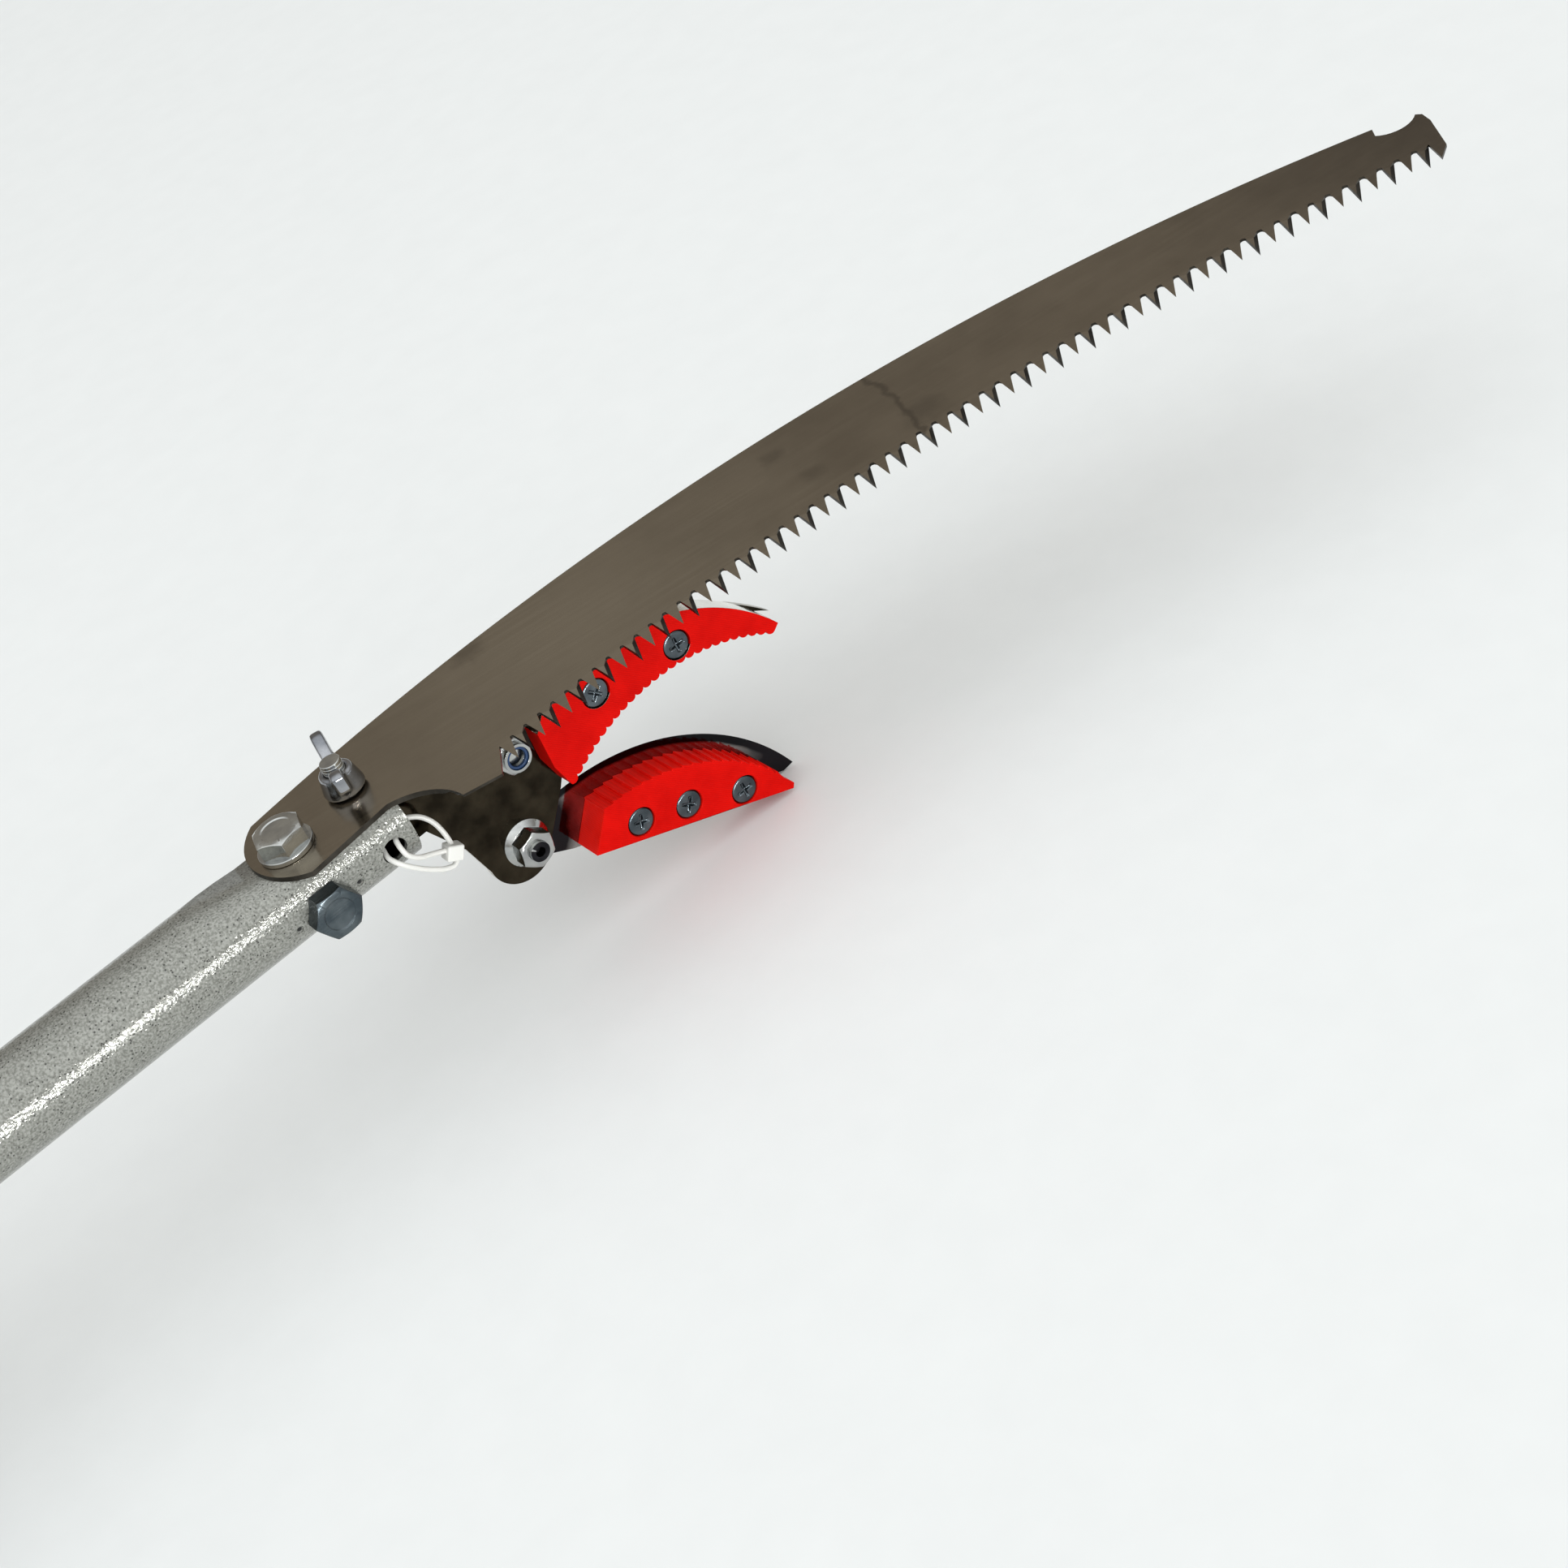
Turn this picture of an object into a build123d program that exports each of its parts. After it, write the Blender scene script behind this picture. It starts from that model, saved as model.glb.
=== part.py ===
import os
from math import asin, atan, cos, degrees, pi, radians, sin, sqrt, tan

from build123d import *

# A telescoping pole saw with a cut-and-hold pruner head.
# Millimetres. The origin is the centre of the butt face, +X runs along the pole to
# the saw, +Z is up with the saw blade lying flat on top, and -Y is the toothed side.

# Pole tubes
outer_od = 32.0
outer_wall = 1.4
outer_length = 760.0
inner_od = 27.0
inner_wall = 1.3
inner_shown = 190.0        # clamp end of the outer tube to the saw bolt, pole closed
inner_behind = 34.0        # trigger pin to the inner tube's rear end, pole closed
tube_nose = 28.5           # inner tube beyond the saw bolt
seat_height = 8.7          # flat saw seat above the pole axis
seat_behind = 13.0         # flat seat behind the saw bolt
seat_ramp = 22.0
tie_hole_d = 7.5
tie_hole_x = 21.1          # beyond the saw bolt
tie_hole_z = -2.6
dimple_d = 2.2
dimple_depth = 0.6
dimple_offset = 10.0       # each side of the side bolt
slit_width = 2.0
slit_length = 30.0

# Clearances
running_gap = 0.06         # radial, between pieces that slide or turn
seated_gap = 0.05          # radial, between pieces that stay together
side_gap = 0.1             # between flat faces that pass each other
free_gap = 0.3             # slots that pins travel in

# End cap and hand grip
cap_tail = 24.0
cap_od = 34.0
cap_spigot = 24.0
cap_flat = 14.0            # half width across the flats
cap_corner = 2.5
hang_hole_d = 10.0
grip_od = 41.0
grip_length = 122.0
grip_lip = 4.0
grip_groove = 1.4
grip_groove_pitch = 12.0
grip_grooves = 8

# Slide bushes and rod guides
front_bush_length = 40.0
bush_flange = 3.0
rear_bush_length = 36.0
guide_length = 10.0
rear_guide_x = 152.0

# Clamp at the front of the outer tube
collar_od = 43.0
collar_length = 34.0
collar_lip = 4.0
ear_drop = 45.0
ear_half = 9.0
ear_gap = 3.0
ear_length = 24.0
clamp_screw_z = -36.5
knob_r = 11.0
knob_lobe_r = 5.0
knob_lobes = 5
knob_height = 13.0
knob_hub = 3.0             # solid end of the knob over the screw
knob_round = 1.5

# Metric fasteners
m8_d = 8.0
m8_af = 13.0
m8_head = 5.3
m6_d = 6.0
m6_af = 10.0
m6_head = 4.0
m6_nut = 5.0
head_chamfer = 0.3         # how far the ring on a hex head lies inside its flats
head_slope = 60.0          # of that chamfer, from the head's axis
m4_d = 4.0
m4_head_d = 7.0
grip_head_d = 8.8
m4_head = 1.6
recess_width = 0.9
recess_span = 4.2
recess_depth = 1.0

# Saw blade, measured from the saw bolt
saw_thick = 1.6
saw_back_r = 551.0
tang_top = (-1.5, 19.4)
tang_rear = (-10.4, 2.0)
tang_low = (-1.0, -16.2)
tang_neck = (25.6, -12.9)
heel_hollow = (35.4, -19.6)
heel_corner = (39.8, -31.6)
heel_low = (50.6, -35.2)
teeth = 62
tooth_pitch = 5.09
tooth_depth = 8.0
tooth_lean = 0.3
gullet = 0.5
tooth_line_r = 660.0
tooth_line_x = 100.0
tooth_line_y = -32.6
first_gullet_x = 55.1
nose_low = (5.9, 3.6)      # nose points, from the last tooth's tip
nose_front = (14.6, 17.4)
nose_top = (16.4, 22.2)
nose_hook = (15.6, 24.2)
nose_notch = (8.4, 23.0)
nose_step = (3.1, 28.2)
nose_back = (5.5, 31.7)

# Saw fixings
stud_x = 22.6
stud_y = 4.6
stud_head_d = 9.4
stud_head = 2.6
stud_top = 10.5            # above the saw blade
washer_d = 16.0
washer_thick = 1.6
saw_bolt_reach = 9.5       # below the bolt head
saw_bolt_turn = 12.0
wing_base_d = 12.6
wing_top_d = 9.6
wing_body = 7.5
wing_foot = 0.8            # rounded foot below the cone
wing_span = 13.4
wing_rise = 13.0
wing_end = 7.2             # lower corner of a wing's outer end
wing_thick = 3.7
wing_round = 1.2
wing_turn = 74.5
side_bolt_x = -1.3
side_bolt_z = -3.8
side_bolt_tip_y = 1.0
plug_back = 24.0           # plug behind the saw bolt
plug_front = 11.0

# Fixed jaw plate, measured from the saw bolt in X and Z
plate_thick = 2.5
plate_back = -9.0
plate_top = 2.0
plate_low = -11.3
pivot_x = 56.2
pivot_z = -35.0
lobe_x = 53.6
lobe_z = -35.4
lobe_r = 10.3
lobe_low_turn = 20.0       # where the plate's edge runs into the lobe, below level
throat_x = 40.3            # the notch between the tube and the lobe
throat_z = -24.0
neck_beyond = 5.0          # the plate widens this far outside the tube
hook_edge = (72.6, -27.6)
hook_root = (75.4, -23.4)
hook_under = (108.0, -11.4)
hook_tip = (152.2, -25.0)
hook_over = (134.3, -8.7)
hook_crown = (80.0, 6.0)

# Upper grip
grip_front_y = -10.5
upper_root = (73.4, -23.6)
upper_under = (106.0, -13.0)
upper_end = (147.6, -26.0)
upper_tip = (149.6, -24.6)
upper_over = (130.6, -4.4)
upper_crown = (78.0, 3.4)
upper_heel = (71.6, -3.6)
upper_back = (71.3, -15.6)
scallops = 26
scallop_rise = 1.0
upper_screws = ((91.8, -4.9), (119.2, -9.0))

# Lower jaw
jaw_travel = 29.0
hub_r = 9.4
blade_thick = 2.5
blade_bevel = 4.0          # width of the ground edge, on the back
blade_land = 0.3           # thickness left at the cutting edge
blade_root = (72.5, -30.0)
blade_crown = (111.8, -41.3)
blade_tip = (139.2, -74.3)
blade_heel = (135.5, -74.7)
blade_low = (68.0, -48.6)
hub_low_turn = 20.0        # where the blade's lower edge leaves the hub
tail_half = 6.2
lower_heel = (69.6, -48.0)
lower_back = (77.7, -37.6)
lower_crown = (108.5, -45.2)
lower_front = (130.2, -68.6)
lower_tip = (132.5, -72.4)
lower_end = (131.6, -73.9)
steps = 19
step_rise = 0.8
lower_screws = ((85.8, -48.6), (100.8, -54.5), (117.8, -63.0))

# Pull rods
rod_d = 5.0
rod_y = 5.2
rod_z = -6.0
rod_tail = 16.0            # rod behind the inner tube's rear end
eye_thick = 3.0
eye_r = 6.0
eye_back = 46.0            # eye plate starts this far beyond the saw bolt
lower_rod_d = 7.6
lower_rod_front = 24.0     # lower rod ends this far inside the outer tube's front
collar_d = 8.4
insert_d = 6.8
insert_hole = 5.0
nyloc_collar = 1.7
nyloc_lip = 0.4            # collar that stands above the insert
drive_washer_thick = 1.0
drive_washer_rim = 0.8     # beyond the nut's flats
flange_d = 14.2
flange_thick = 1.3
pivot_nut_turn = 20.0
pivot_end = 1.2            # pivot bolt beyond its nut

# Trigger
trigger_x = 190.0
trigger_z = -44.0
trigger_hub_r = 9.0
trigger_arm = 5.0
trigger_half = 8.0
trigger_reach = 99.0
trigger_droop = 14.0
trigger_round = 3.0
trigger_depth = 14.0
arm_half = 5.6             # half width of the arm that pulls the rod
pin_d = 6.0
cross_pin_d = 4.0
housing_back = 162.0
housing_front = 226.0
housing_half = 19.5
housing_top = 27.0
housing_low = -56.0
housing_round = 7.0
housing_floor = 3.0        # left between the trigger's pocket and the tube
pin_cover = 3.0            # left over the ends of the trigger pin
spring_x = 212.0
spring_r = 4.0
spring_wire = 1.2
spring_turns = 5

# Cable tie
tie_d = 1.5
tie_head = (5.0, 4.2, 4.6)
tie_head_x = 34.5          # beyond the saw bolt
tie_head_y = -12.4
tie_head_z = -14.8
tie_head_turn = 32.0
tie_head_round = 0.6

# Worked out from the sizes above
outer_back = cap_tail
outer_front = outer_back + outer_length
outer_id = outer_od - 2 * outer_wall
inner_id = inner_od - 2 * inner_wall
saw_x = outer_front + inner_shown
inner_back = trigger_x + inner_behind
inner_front = saw_x + tube_nose
saw_top = seat_height + saw_thick
bolt_seat = saw_top + washer_thick
drive_arm = rod_z - pivot_z
drive_reach = drive_arm * tan(radians(jaw_travel / 2))
stroke = 2 * drive_reach
drive_x = pivot_x + drive_reach
trigger_lift = rod_z - trigger_z
trigger_travel = 2 * degrees(atan(drive_reach / trigger_lift))
arm_room = drive_reach + arm_half + 2 * free_gap
jaw_plane = side_gap
eye_plane = jaw_plane + blade_thick + side_gap
far = 400.0


def rod_x(radius, start, end, y=0.0, z=0.0):
    """A round bar along X."""
    return Pos(start, y, z) * Rot(0, 90, 0) * upright(radius, end - start)


def rod_y_axis(radius, start, end, x, z):
    """A round bar along Y, from the lower to the higher Y."""
    return Pos(x, start, z) * Rot(-90, 0, 0) * upright(radius, end - start)


def rod_z_axis(radius, start, end, x, y):
    """A round bar along Z."""
    return Pos(x, y, start) * upright(radius, end - start)


def block(low, high):
    """A box between two corners."""
    size = [b - a for a, b in zip(low, high)]
    return Pos(*low) * Box(*size, align=(Align.MIN, Align.MIN, Align.MIN))


def side_plane(y):
    """Sketch plane with X across and Z up, seen from the toothed side."""
    return Plane(origin=(saw_x, y, 0), x_dir=(1, 0, 0), z_dir=(0, -1, 0))


def plate(edges, back_y, thick):
    """A plate whose back face is at back_y and which grows towards -Y."""
    return extrude(side_plane(back_y) * make_face(edges), thick)


def hexagon(across, height):
    """A hexagon standing on the XY plane, with its far corners turned down."""
    body = extrude(RegularPolygon(across / 2, 6, major_radius=False), height)
    ring = across / 2 - head_chamfer
    cone = Cone(ring + height * tan(radians(head_slope)), ring, height,
                align=(Align.CENTER, Align.CENTER, Align.MIN))
    return body & cone


def toward_teeth(shape, x, y, z):
    """Stand a shape that points up so that it points along -Y."""
    return Pos(x, y, z) * Rot(90, 0, 0) * shape


def toward_back(shape, x, y, z):
    """Stand a shape that points up so that it points along +Y."""
    return Pos(x, y, z) * Rot(-90, 0, 0) * shape


def upright(radius, height):
    """A round bar standing on the XY plane."""
    return Cylinder(radius, height, align=(Align.CENTER, Align.CENTER, Align.MIN))


def outer_tube():
    tube = rod_x(outer_od / 2, outer_back, outer_front)
    tube -= rod_x(outer_id / 2, outer_back - 1, outer_front + 1)
    tube -= block((trigger_x - arm_room, -trigger_arm - free_gap, -outer_od),
                  (trigger_x + arm_room, free_gap, rod_z))
    tube -= block((outer_front - slit_length, -slit_width / 2, -outer_od),
                  (outer_front + 1, slit_width / 2, 0))
    return tube


def end_cap():
    cap = rod_x(cap_od / 2, 0, cap_tail)
    cap = fillet(cap.edges().group_by(Axis.X)[0], cap_corner)
    for side in (-1, 1):
        low = min(side * cap_flat, side * cap_od)
        cap -= block((-1, low, -cap_od), (cap_tail - grip_lip, low + cap_od - cap_flat, cap_od))
    cap += rod_x(outer_id / 2 - seated_gap, cap_tail, cap_tail + cap_spigot)
    return cap - rod_y_axis(hang_hole_d / 2, -cap_od, cap_od, cap_tail / 2, 0)


def hand_grip():
    start = cap_tail + side_gap
    grip = rod_x(grip_od / 2, start, start + grip_length)
    grip = fillet(grip.edges(), grip_lip / 2)
    first = start + (grip_length - grip_groove_pitch * (grip_grooves - 1)) / 2
    for turn in range(grip_grooves):
        ring = Pos(first + turn * grip_groove_pitch, 0, 0) * Rot(0, 90, 0) * Torus(grip_od / 2, grip_groove)
        grip -= ring
    return grip - rod_x(outer_od / 2 + seated_gap, start - 1, start + grip_length + 1)


def rear_rod_guide():
    guide = rod_x(outer_id / 2 - seated_gap, rear_guide_x, rear_guide_x + guide_length)
    return guide - rod_x(lower_rod_d / 2 + running_gap, 0, far, rod_y, rod_z)


def front_bush():
    start = outer_front - front_bush_length
    bush = rod_x(outer_id / 2 - seated_gap, start, outer_front)
    bush += rod_x(outer_od / 2, outer_front, outer_front + bush_flange)
    return bush - rod_x(inner_od / 2 + running_gap, start - 1, outer_front + bush_flange + 1)


def clamp_collar():
    start = outer_front - collar_length
    end = outer_front + bush_flange + collar_lip
    collar = rod_x(collar_od / 2, start, end)
    middle = (start + end) / 2
    ear = block((middle - ear_length / 2, -ear_half, -ear_drop),
                (middle + ear_length / 2, ear_half, 0))
    collar += fillet(ear.edges().filter_by(Axis.Y), ear_half / 2)
    collar -= rod_x(outer_od / 2 + seated_gap, start - 1, outer_front + bush_flange)
    collar -= rod_x(inner_od / 2 + 1, start, end + 1)
    collar -= block((start - 1, -ear_gap / 2, -far), (end + 1, ear_gap / 2, 0))
    return collar - rod_y_axis(m6_d / 2 + seated_gap, -far, far, middle, clamp_screw_z)


def clamp_middle():
    return outer_front + (bush_flange + collar_lip - collar_length) / 2


def clamp_screw():
    shank = rod_y_axis(m6_d / 2, -ear_half - knob_height + knob_hub, ear_half, clamp_middle(), clamp_screw_z)
    return shank + toward_back(hexagon(m6_af, m6_head), clamp_middle(), ear_half, clamp_screw_z)


def clamp_knob():
    knob = upright(knob_r, knob_height)
    lobe = upright(knob_lobe_r, knob_height - 1)
    lobe = fillet(lobe.edges().group_by(Axis.Z)[-1], knob_round)
    for place in PolarLocations(knob_r, knob_lobes):
        knob += place * lobe
    knob -= Cylinder(m6_d / 2 + running_gap, 2 * knob_height - 2 * knob_hub)
    return toward_teeth(knob, clamp_middle(), -ear_half - side_gap, clamp_screw_z)


def housing_half_shell(side):
    shell = block((housing_back, 0, housing_low), (housing_front, housing_half, housing_top))
    shell = fillet(shell.edges().filter_by(Axis.X).group_by(Axis.Y)[-1], housing_round)
    shell = fillet(shell.edges().group_by(Axis.X)[-1].filter_by(Axis.Y), housing_round / 2)
    shell -= rod_x(outer_od / 2 + seated_gap, housing_back - 1, housing_front + 1)
    pocket = trigger_half + free_gap
    pocket_back = trigger_x - trigger_hub_r - 2 * free_gap
    pocket_top = -outer_od / 2 - housing_floor
    shell -= block((pocket_back, -1, housing_low - 1), (housing_front + 1, pocket, pocket_top))
    shell -= block((trigger_x - arm_room, -1, -outer_od), (trigger_x + arm_room, pocket, 0))
    shell -= rod_y_axis(pin_d / 2 + seated_gap, -1, housing_half - pin_cover, trigger_x, trigger_z)
    for x, z in housing_screw_places():
        shell -= rod_y_axis(m4_d / 2 + seated_gap, -1, far, x, z)
        shell -= rod_y_axis(m4_head_d / 2 + seated_gap, housing_half - 2 * m4_head, far, x, z)
    return shell if side > 0 else mirror(shell, about=Plane.XZ)


def housing_screw_places():
    back = housing_back + housing_round
    front = housing_front - 2 * housing_round
    above = (outer_od / 2 + housing_top) / 2
    return ((back, housing_low + 2 * housing_round), (back, -outer_od / 2 - m4_head_d), (front, above))


def housing_screws():
    """Pan screws that pass through one half and bite into the other."""
    group = []
    for x, z in housing_screw_places():
        screw = Cylinder(m4_d / 2, housing_half, align=(Align.CENTER, Align.CENTER, Align.MAX))
        screw += pan_head(m4_head_d)
        seat = -housing_half + 2 * m4_head
        group.append(toward_teeth(screw, x, seat, z))
    return Compound(children=group)


def pan_head(across):
    head = upright(across / 2, m4_head)
    head = fillet(head.edges().group_by(Axis.Z)[-1], m4_head / 2)
    for turn in (0, 90):
        head -= Pos(0, 0, m4_head - recess_depth / 2) * Rot(0, 0, turn) * Box(
            recess_span, recess_width, recess_depth)
    return head


def trigger():
    hub = Pos(trigger_x, trigger_z) * Circle(trigger_hub_r)
    lever_end = (trigger_reach * cos(radians(trigger_droop)), -trigger_reach * sin(radians(trigger_droop)))
    middle = Pos(trigger_x + lever_end[0] / 2, trigger_z + lever_end[1] / 2)
    lever = middle * Rot(0, 0, -trigger_droop) * SlotCenterToCenter(trigger_reach, trigger_depth)
    grip_face = hub + lever
    lean = -degrees(atan(drive_reach / trigger_lift))
    reach = trigger_lift / cos(radians(lean))
    arm = Pos(0, reach / 2) * SlotCenterToCenter(reach, 2 * arm_half, rotation=90)
    slot_length = reach - trigger_lift + 2 * free_gap
    slot = Pos(0, (reach + trigger_lift) / 2) * SlotOverall(
        slot_length + cross_pin_d + 2 * free_gap, cross_pin_d + 2 * free_gap, rotation=90)
    arm = Pos(trigger_x, trigger_z) * Rot(0, 0, lean) * (arm - slot)
    plane = Plane(origin=(0, 0, 0), x_dir=(1, 0, 0), z_dir=(0, -1, 0))
    body = extrude(plane * grip_face, trigger_half, both=True)
    body = fillet(body.edges().group_by(Axis.Y)[0] + body.edges().group_by(Axis.Y)[-1], trigger_round)
    body += extrude(plane * arm, trigger_arm)
    return body - rod_y_axis(pin_d / 2 + running_gap, -far, far, trigger_x, trigger_z)


def trigger_pin():
    reach = housing_half - pin_cover
    return rod_y_axis(pin_d / 2, -reach, reach, trigger_x, trigger_z)


def return_spring():
    top = -outer_od / 2 - housing_floor
    droop = radians(trigger_droop)
    rise = trigger_depth / 2 / cos(droop) - (spring_x - trigger_x) * tan(droop)
    low = trigger_z + rise - 3 * side_gap
    height = top - low - spring_wire / 2 - side_gap / 4
    quarter = 4 * spring_turns

    def place(step):
        turn = step * pi / 2
        return Vector(spring_x + spring_r * cos(turn), spring_r * sin(turn),
                      low + height * step / quarter)

    wire = []
    heading = Vector(0, spring_r, height / quarter * 2 / pi)
    for step in range(quarter):
        wire.append(TangentArc(place(step), place(step + 1), tangent=heading))
        heading = wire[-1] % 1
    path = Wire(wire)
    return sweep(Plane(origin=path @ 0, z_dir=path % 0) * Circle(spring_wire / 2), path=path)


def lower_rod():
    end = outer_front - lower_rod_front
    rod = rod_x(lower_rod_d / 2, rear_guide_x - 2, end, rod_y, rod_z)
    rod -= rod_x(rod_d / 2 + running_gap, trigger_x + drive_reach + 2 * cross_pin_d, end + 1, rod_y, rod_z)
    return rod - rod_y_axis(cross_pin_d / 2 + seated_gap, -far, far, trigger_x + drive_reach, rod_z)


def cross_pin():
    far_end = rod_y + lower_rod_d / 2
    return rod_y_axis(cross_pin_d / 2, -trigger_arm - side_gap, far_end, trigger_x + drive_reach, rod_z)


def seat_cut(drop):
    """What is pressed away above the flat saw seat, lowered by drop."""
    level = seat_height - drop
    start = saw_x - seat_behind
    slope = seat_ramp / (inner_od / 2 - seat_height)
    outline = Polyline((start, level), (start - slope * inner_od, level + inner_od),
                       (inner_front + 1, level + inner_od), (inner_front + 1, level), close=True)
    plane = Plane(origin=(0, inner_od, 0), x_dir=(1, 0, 0), z_dir=(0, -1, 0))
    return extrude(plane * make_face(outline), 2 * inner_od)


def inner_tube():
    tube = rod_x(inner_od / 2, inner_back, inner_front) - seat_cut(0)
    tube -= rod_x(inner_id / 2, inner_back - 1, inner_front + 1) - seat_cut(inner_wall)
    tube -= rod_y_axis(tie_hole_d / 2, -inner_od, rod_z, saw_x + tie_hole_x, tie_hole_z)
    tube -= rod_y_axis(m8_d / 2 + seated_gap, -inner_od, rod_z, saw_x + side_bolt_x, side_bolt_z)
    skin = sqrt((inner_od / 2) ** 2 - side_bolt_z ** 2)
    for side in (-1, 1):
        tube -= rod_y_axis(dimple_d / 2, -inner_od, dimple_depth - skin,
                           saw_x + side_bolt_x + side * dimple_offset, side_bolt_z)
    tube -= rod_z_axis(m8_d / 2 + seated_gap, 0, inner_od, saw_x, 0)
    return tube - rod_z_axis(m6_d / 2 + seated_gap, 0, inner_od, saw_x + stud_x, stud_y)


def rear_bush():
    bush = rod_x(outer_id / 2 - running_gap, inner_back, inner_back + rear_bush_length)
    return bush - rod_x(inner_od / 2 + seated_gap, inner_back - 1, inner_back + rear_bush_length + 1)


def inner_rod_guide():
    guide = rod_x(inner_id / 2 - seated_gap, inner_back, inner_back + guide_length)
    return guide - rod_x(lower_rod_d / 2 + running_gap, 0, far, rod_y, rod_z)


def head_plug():
    plug = rod_x(inner_id / 2 - seated_gap, saw_x - plug_back, saw_x + plug_front)
    plug -= seat_cut(inner_wall + seated_gap)
    plug -= block((saw_x + plate_back - seated_gap, -plate_thick - seated_gap, plate_low - seated_gap),
                  (saw_x + far, seated_gap, plate_top + seated_gap))
    plug -= rod_x(rod_d / 2 + running_gap, 0, 2 * saw_x, rod_y, rod_z)
    plug -= rod_z_axis(m8_d / 2 + seated_gap, bolt_seat - saw_bolt_reach - 1, far, saw_x, 0)
    return plug - rod_y_axis(m8_d / 2 + seated_gap, -far, side_bolt_tip_y, saw_x + side_bolt_x, side_bolt_z)


def tooth_point(along, inward):
    """A point along the tooth line, and how far it lies inside the blade."""
    turn = asin((first_gullet_x - tooth_line_x) / (tooth_line_r + tooth_depth)) + along / tooth_line_r
    reach = tooth_line_r + inward
    return (tooth_line_x + reach * sin(turn), tooth_line_y - tooth_line_r + reach * cos(turn))


def saw_blade():
    toothing = []
    for tooth in range(teeth):
        start = tooth * tooth_pitch
        toothing.append(tooth_point(start, tooth_depth))
        toothing.append(tooth_point(start + tooth_lean, 0))
        toothing.append(tooth_point(start + tooth_pitch - gullet, tooth_depth))
    last = toothing[-2]
    toothing = toothing[:-1]

    def nose(offset):
        return (last[0] + offset[0], last[1] + offset[1])

    outline = [
        RadiusArc(nose(nose_back), tang_top, -saw_back_r),
        ThreePointArc(tang_top, tang_rear, tang_low),
        Line(tang_low, tang_neck),
        ThreePointArc(tang_neck, heel_hollow, heel_corner),
        Line(heel_corner, heel_low),
        Polyline(heel_low, *toothing, nose(nose_low), nose(nose_front), nose(nose_top), nose(nose_hook)),
        ThreePointArc(nose(nose_hook), nose(nose_notch), nose(nose_step)),
        Line(nose(nose_step), nose(nose_back)),
    ]
    blade = Pos(saw_x, 0, seat_height) * extrude(make_face(Curve() + outline), saw_thick)
    blade -= rod_z_axis(m8_d / 2 + seated_gap, 0, far, saw_x, 0)
    return blade - rod_z_axis(m6_d / 2 + seated_gap, 0, far, saw_x + stud_x, stud_y)


def saw_washer():
    ring = rod_z_axis(washer_d / 2, saw_top, bolt_seat, saw_x, 0)
    return ring - rod_z_axis(m8_d / 2 + seated_gap, 0, far, saw_x, 0)


def saw_bolt():
    bolt = rod_z_axis(m8_d / 2, bolt_seat - saw_bolt_reach, bolt_seat, saw_x, 0)
    return bolt + Pos(saw_x, 0, bolt_seat) * Rot(0, 0, saw_bolt_turn) * hexagon(m8_af, m8_head)


def saw_stud():
    under = seat_height - inner_wall
    stud = rod_z_axis(m6_d / 2, under, saw_top + stud_top, saw_x + stud_x, stud_y)
    return stud + rod_z_axis(stud_head_d / 2, under - stud_head, under, saw_x + stud_x, stud_y)


def wing_nut():
    body = Pos(0, 0, wing_foot) * Cone(wing_base_d / 2, wing_top_d / 2, wing_body - wing_foot,
                                       align=(Align.CENTER, Align.CENTER, Align.MIN))
    body += Cone(wing_top_d / 2, wing_base_d / 2, wing_foot, align=(Align.CENTER, Align.CENTER, Align.MIN))
    plane = Plane(origin=(0, wing_thick / 2, 0), x_dir=(1, 0, 0), z_dir=(0, -1, 0))
    for side in (-1, 1):
        inside = side * wing_top_d / 4
        ear = Polyline((inside, wing_foot), (side * wing_top_d / 2, 2 * wing_foot),
                       (side * wing_span, wing_end), (side * wing_span, wing_rise),
                       (side * (wing_span - wing_thick), wing_rise), (inside, wing_body), close=True)
        wing = extrude(plane * make_face(ear), wing_thick)
        corners = wing.edges().filter_by(Axis.Y).group_by(Axis.X)[-1 if side > 0 else 0]
        body += fillet(corners, wing_round)
    body -= Cylinder(m6_d / 2 + running_gap, 4 * wing_rise)
    return Pos(saw_x + stud_x, stud_y, saw_top + side_gap) * Rot(0, 0, wing_turn) * body


def side_bolt():
    seat = -inner_od / 2
    bolt = rod_y_axis(m8_d / 2, seat, side_bolt_tip_y, saw_x + side_bolt_x, side_bolt_z)
    return bolt + toward_teeth(hexagon(m8_af, m8_head), saw_x + side_bolt_x, seat, side_bolt_z)


def fixed_jaw():
    neck_x = tube_nose + neck_beyond
    turn = radians(lobe_low_turn)
    lobe_low = (lobe_x + lobe_r * cos(turn), lobe_z - lobe_r * sin(turn))
    outline = [
        Polyline((plate_back, plate_top), (neck_x, plate_top), hook_crown),
        ThreePointArc(hook_crown, hook_over, hook_tip),
        ThreePointArc(hook_tip, hook_under, hook_root),
        Polyline(hook_root, hook_edge, lobe_low),
        ThreePointArc(lobe_low, (lobe_x, lobe_z - lobe_r), (lobe_x - lobe_r, lobe_z)),
        Polyline((lobe_x - lobe_r, lobe_z), (throat_x, throat_z), (neck_x, plate_low),
                 (plate_back, plate_low), (plate_back, plate_top)),
    ]
    jaw = plate(Curve() + outline, 0, plate_thick)
    jaw -= rod_y_axis(m6_d / 2 + seated_gap, -far, far, saw_x + pivot_x, pivot_z)
    track = SlotCenterToCenter(stroke, m6_d + 2 * free_gap)
    jaw -= extrude(side_plane(far) * Pos(pivot_x, rod_z) * track, 2 * far)
    jaw -= rod_y_axis(m8_d / 2 + seated_gap, -far, far, saw_x + side_bolt_x, side_bolt_z)
    for x, z in upper_screws:
        jaw -= rod_y_axis(m4_d / 2 + seated_gap, -far, far, saw_x + x, z)
    return jaw


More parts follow.
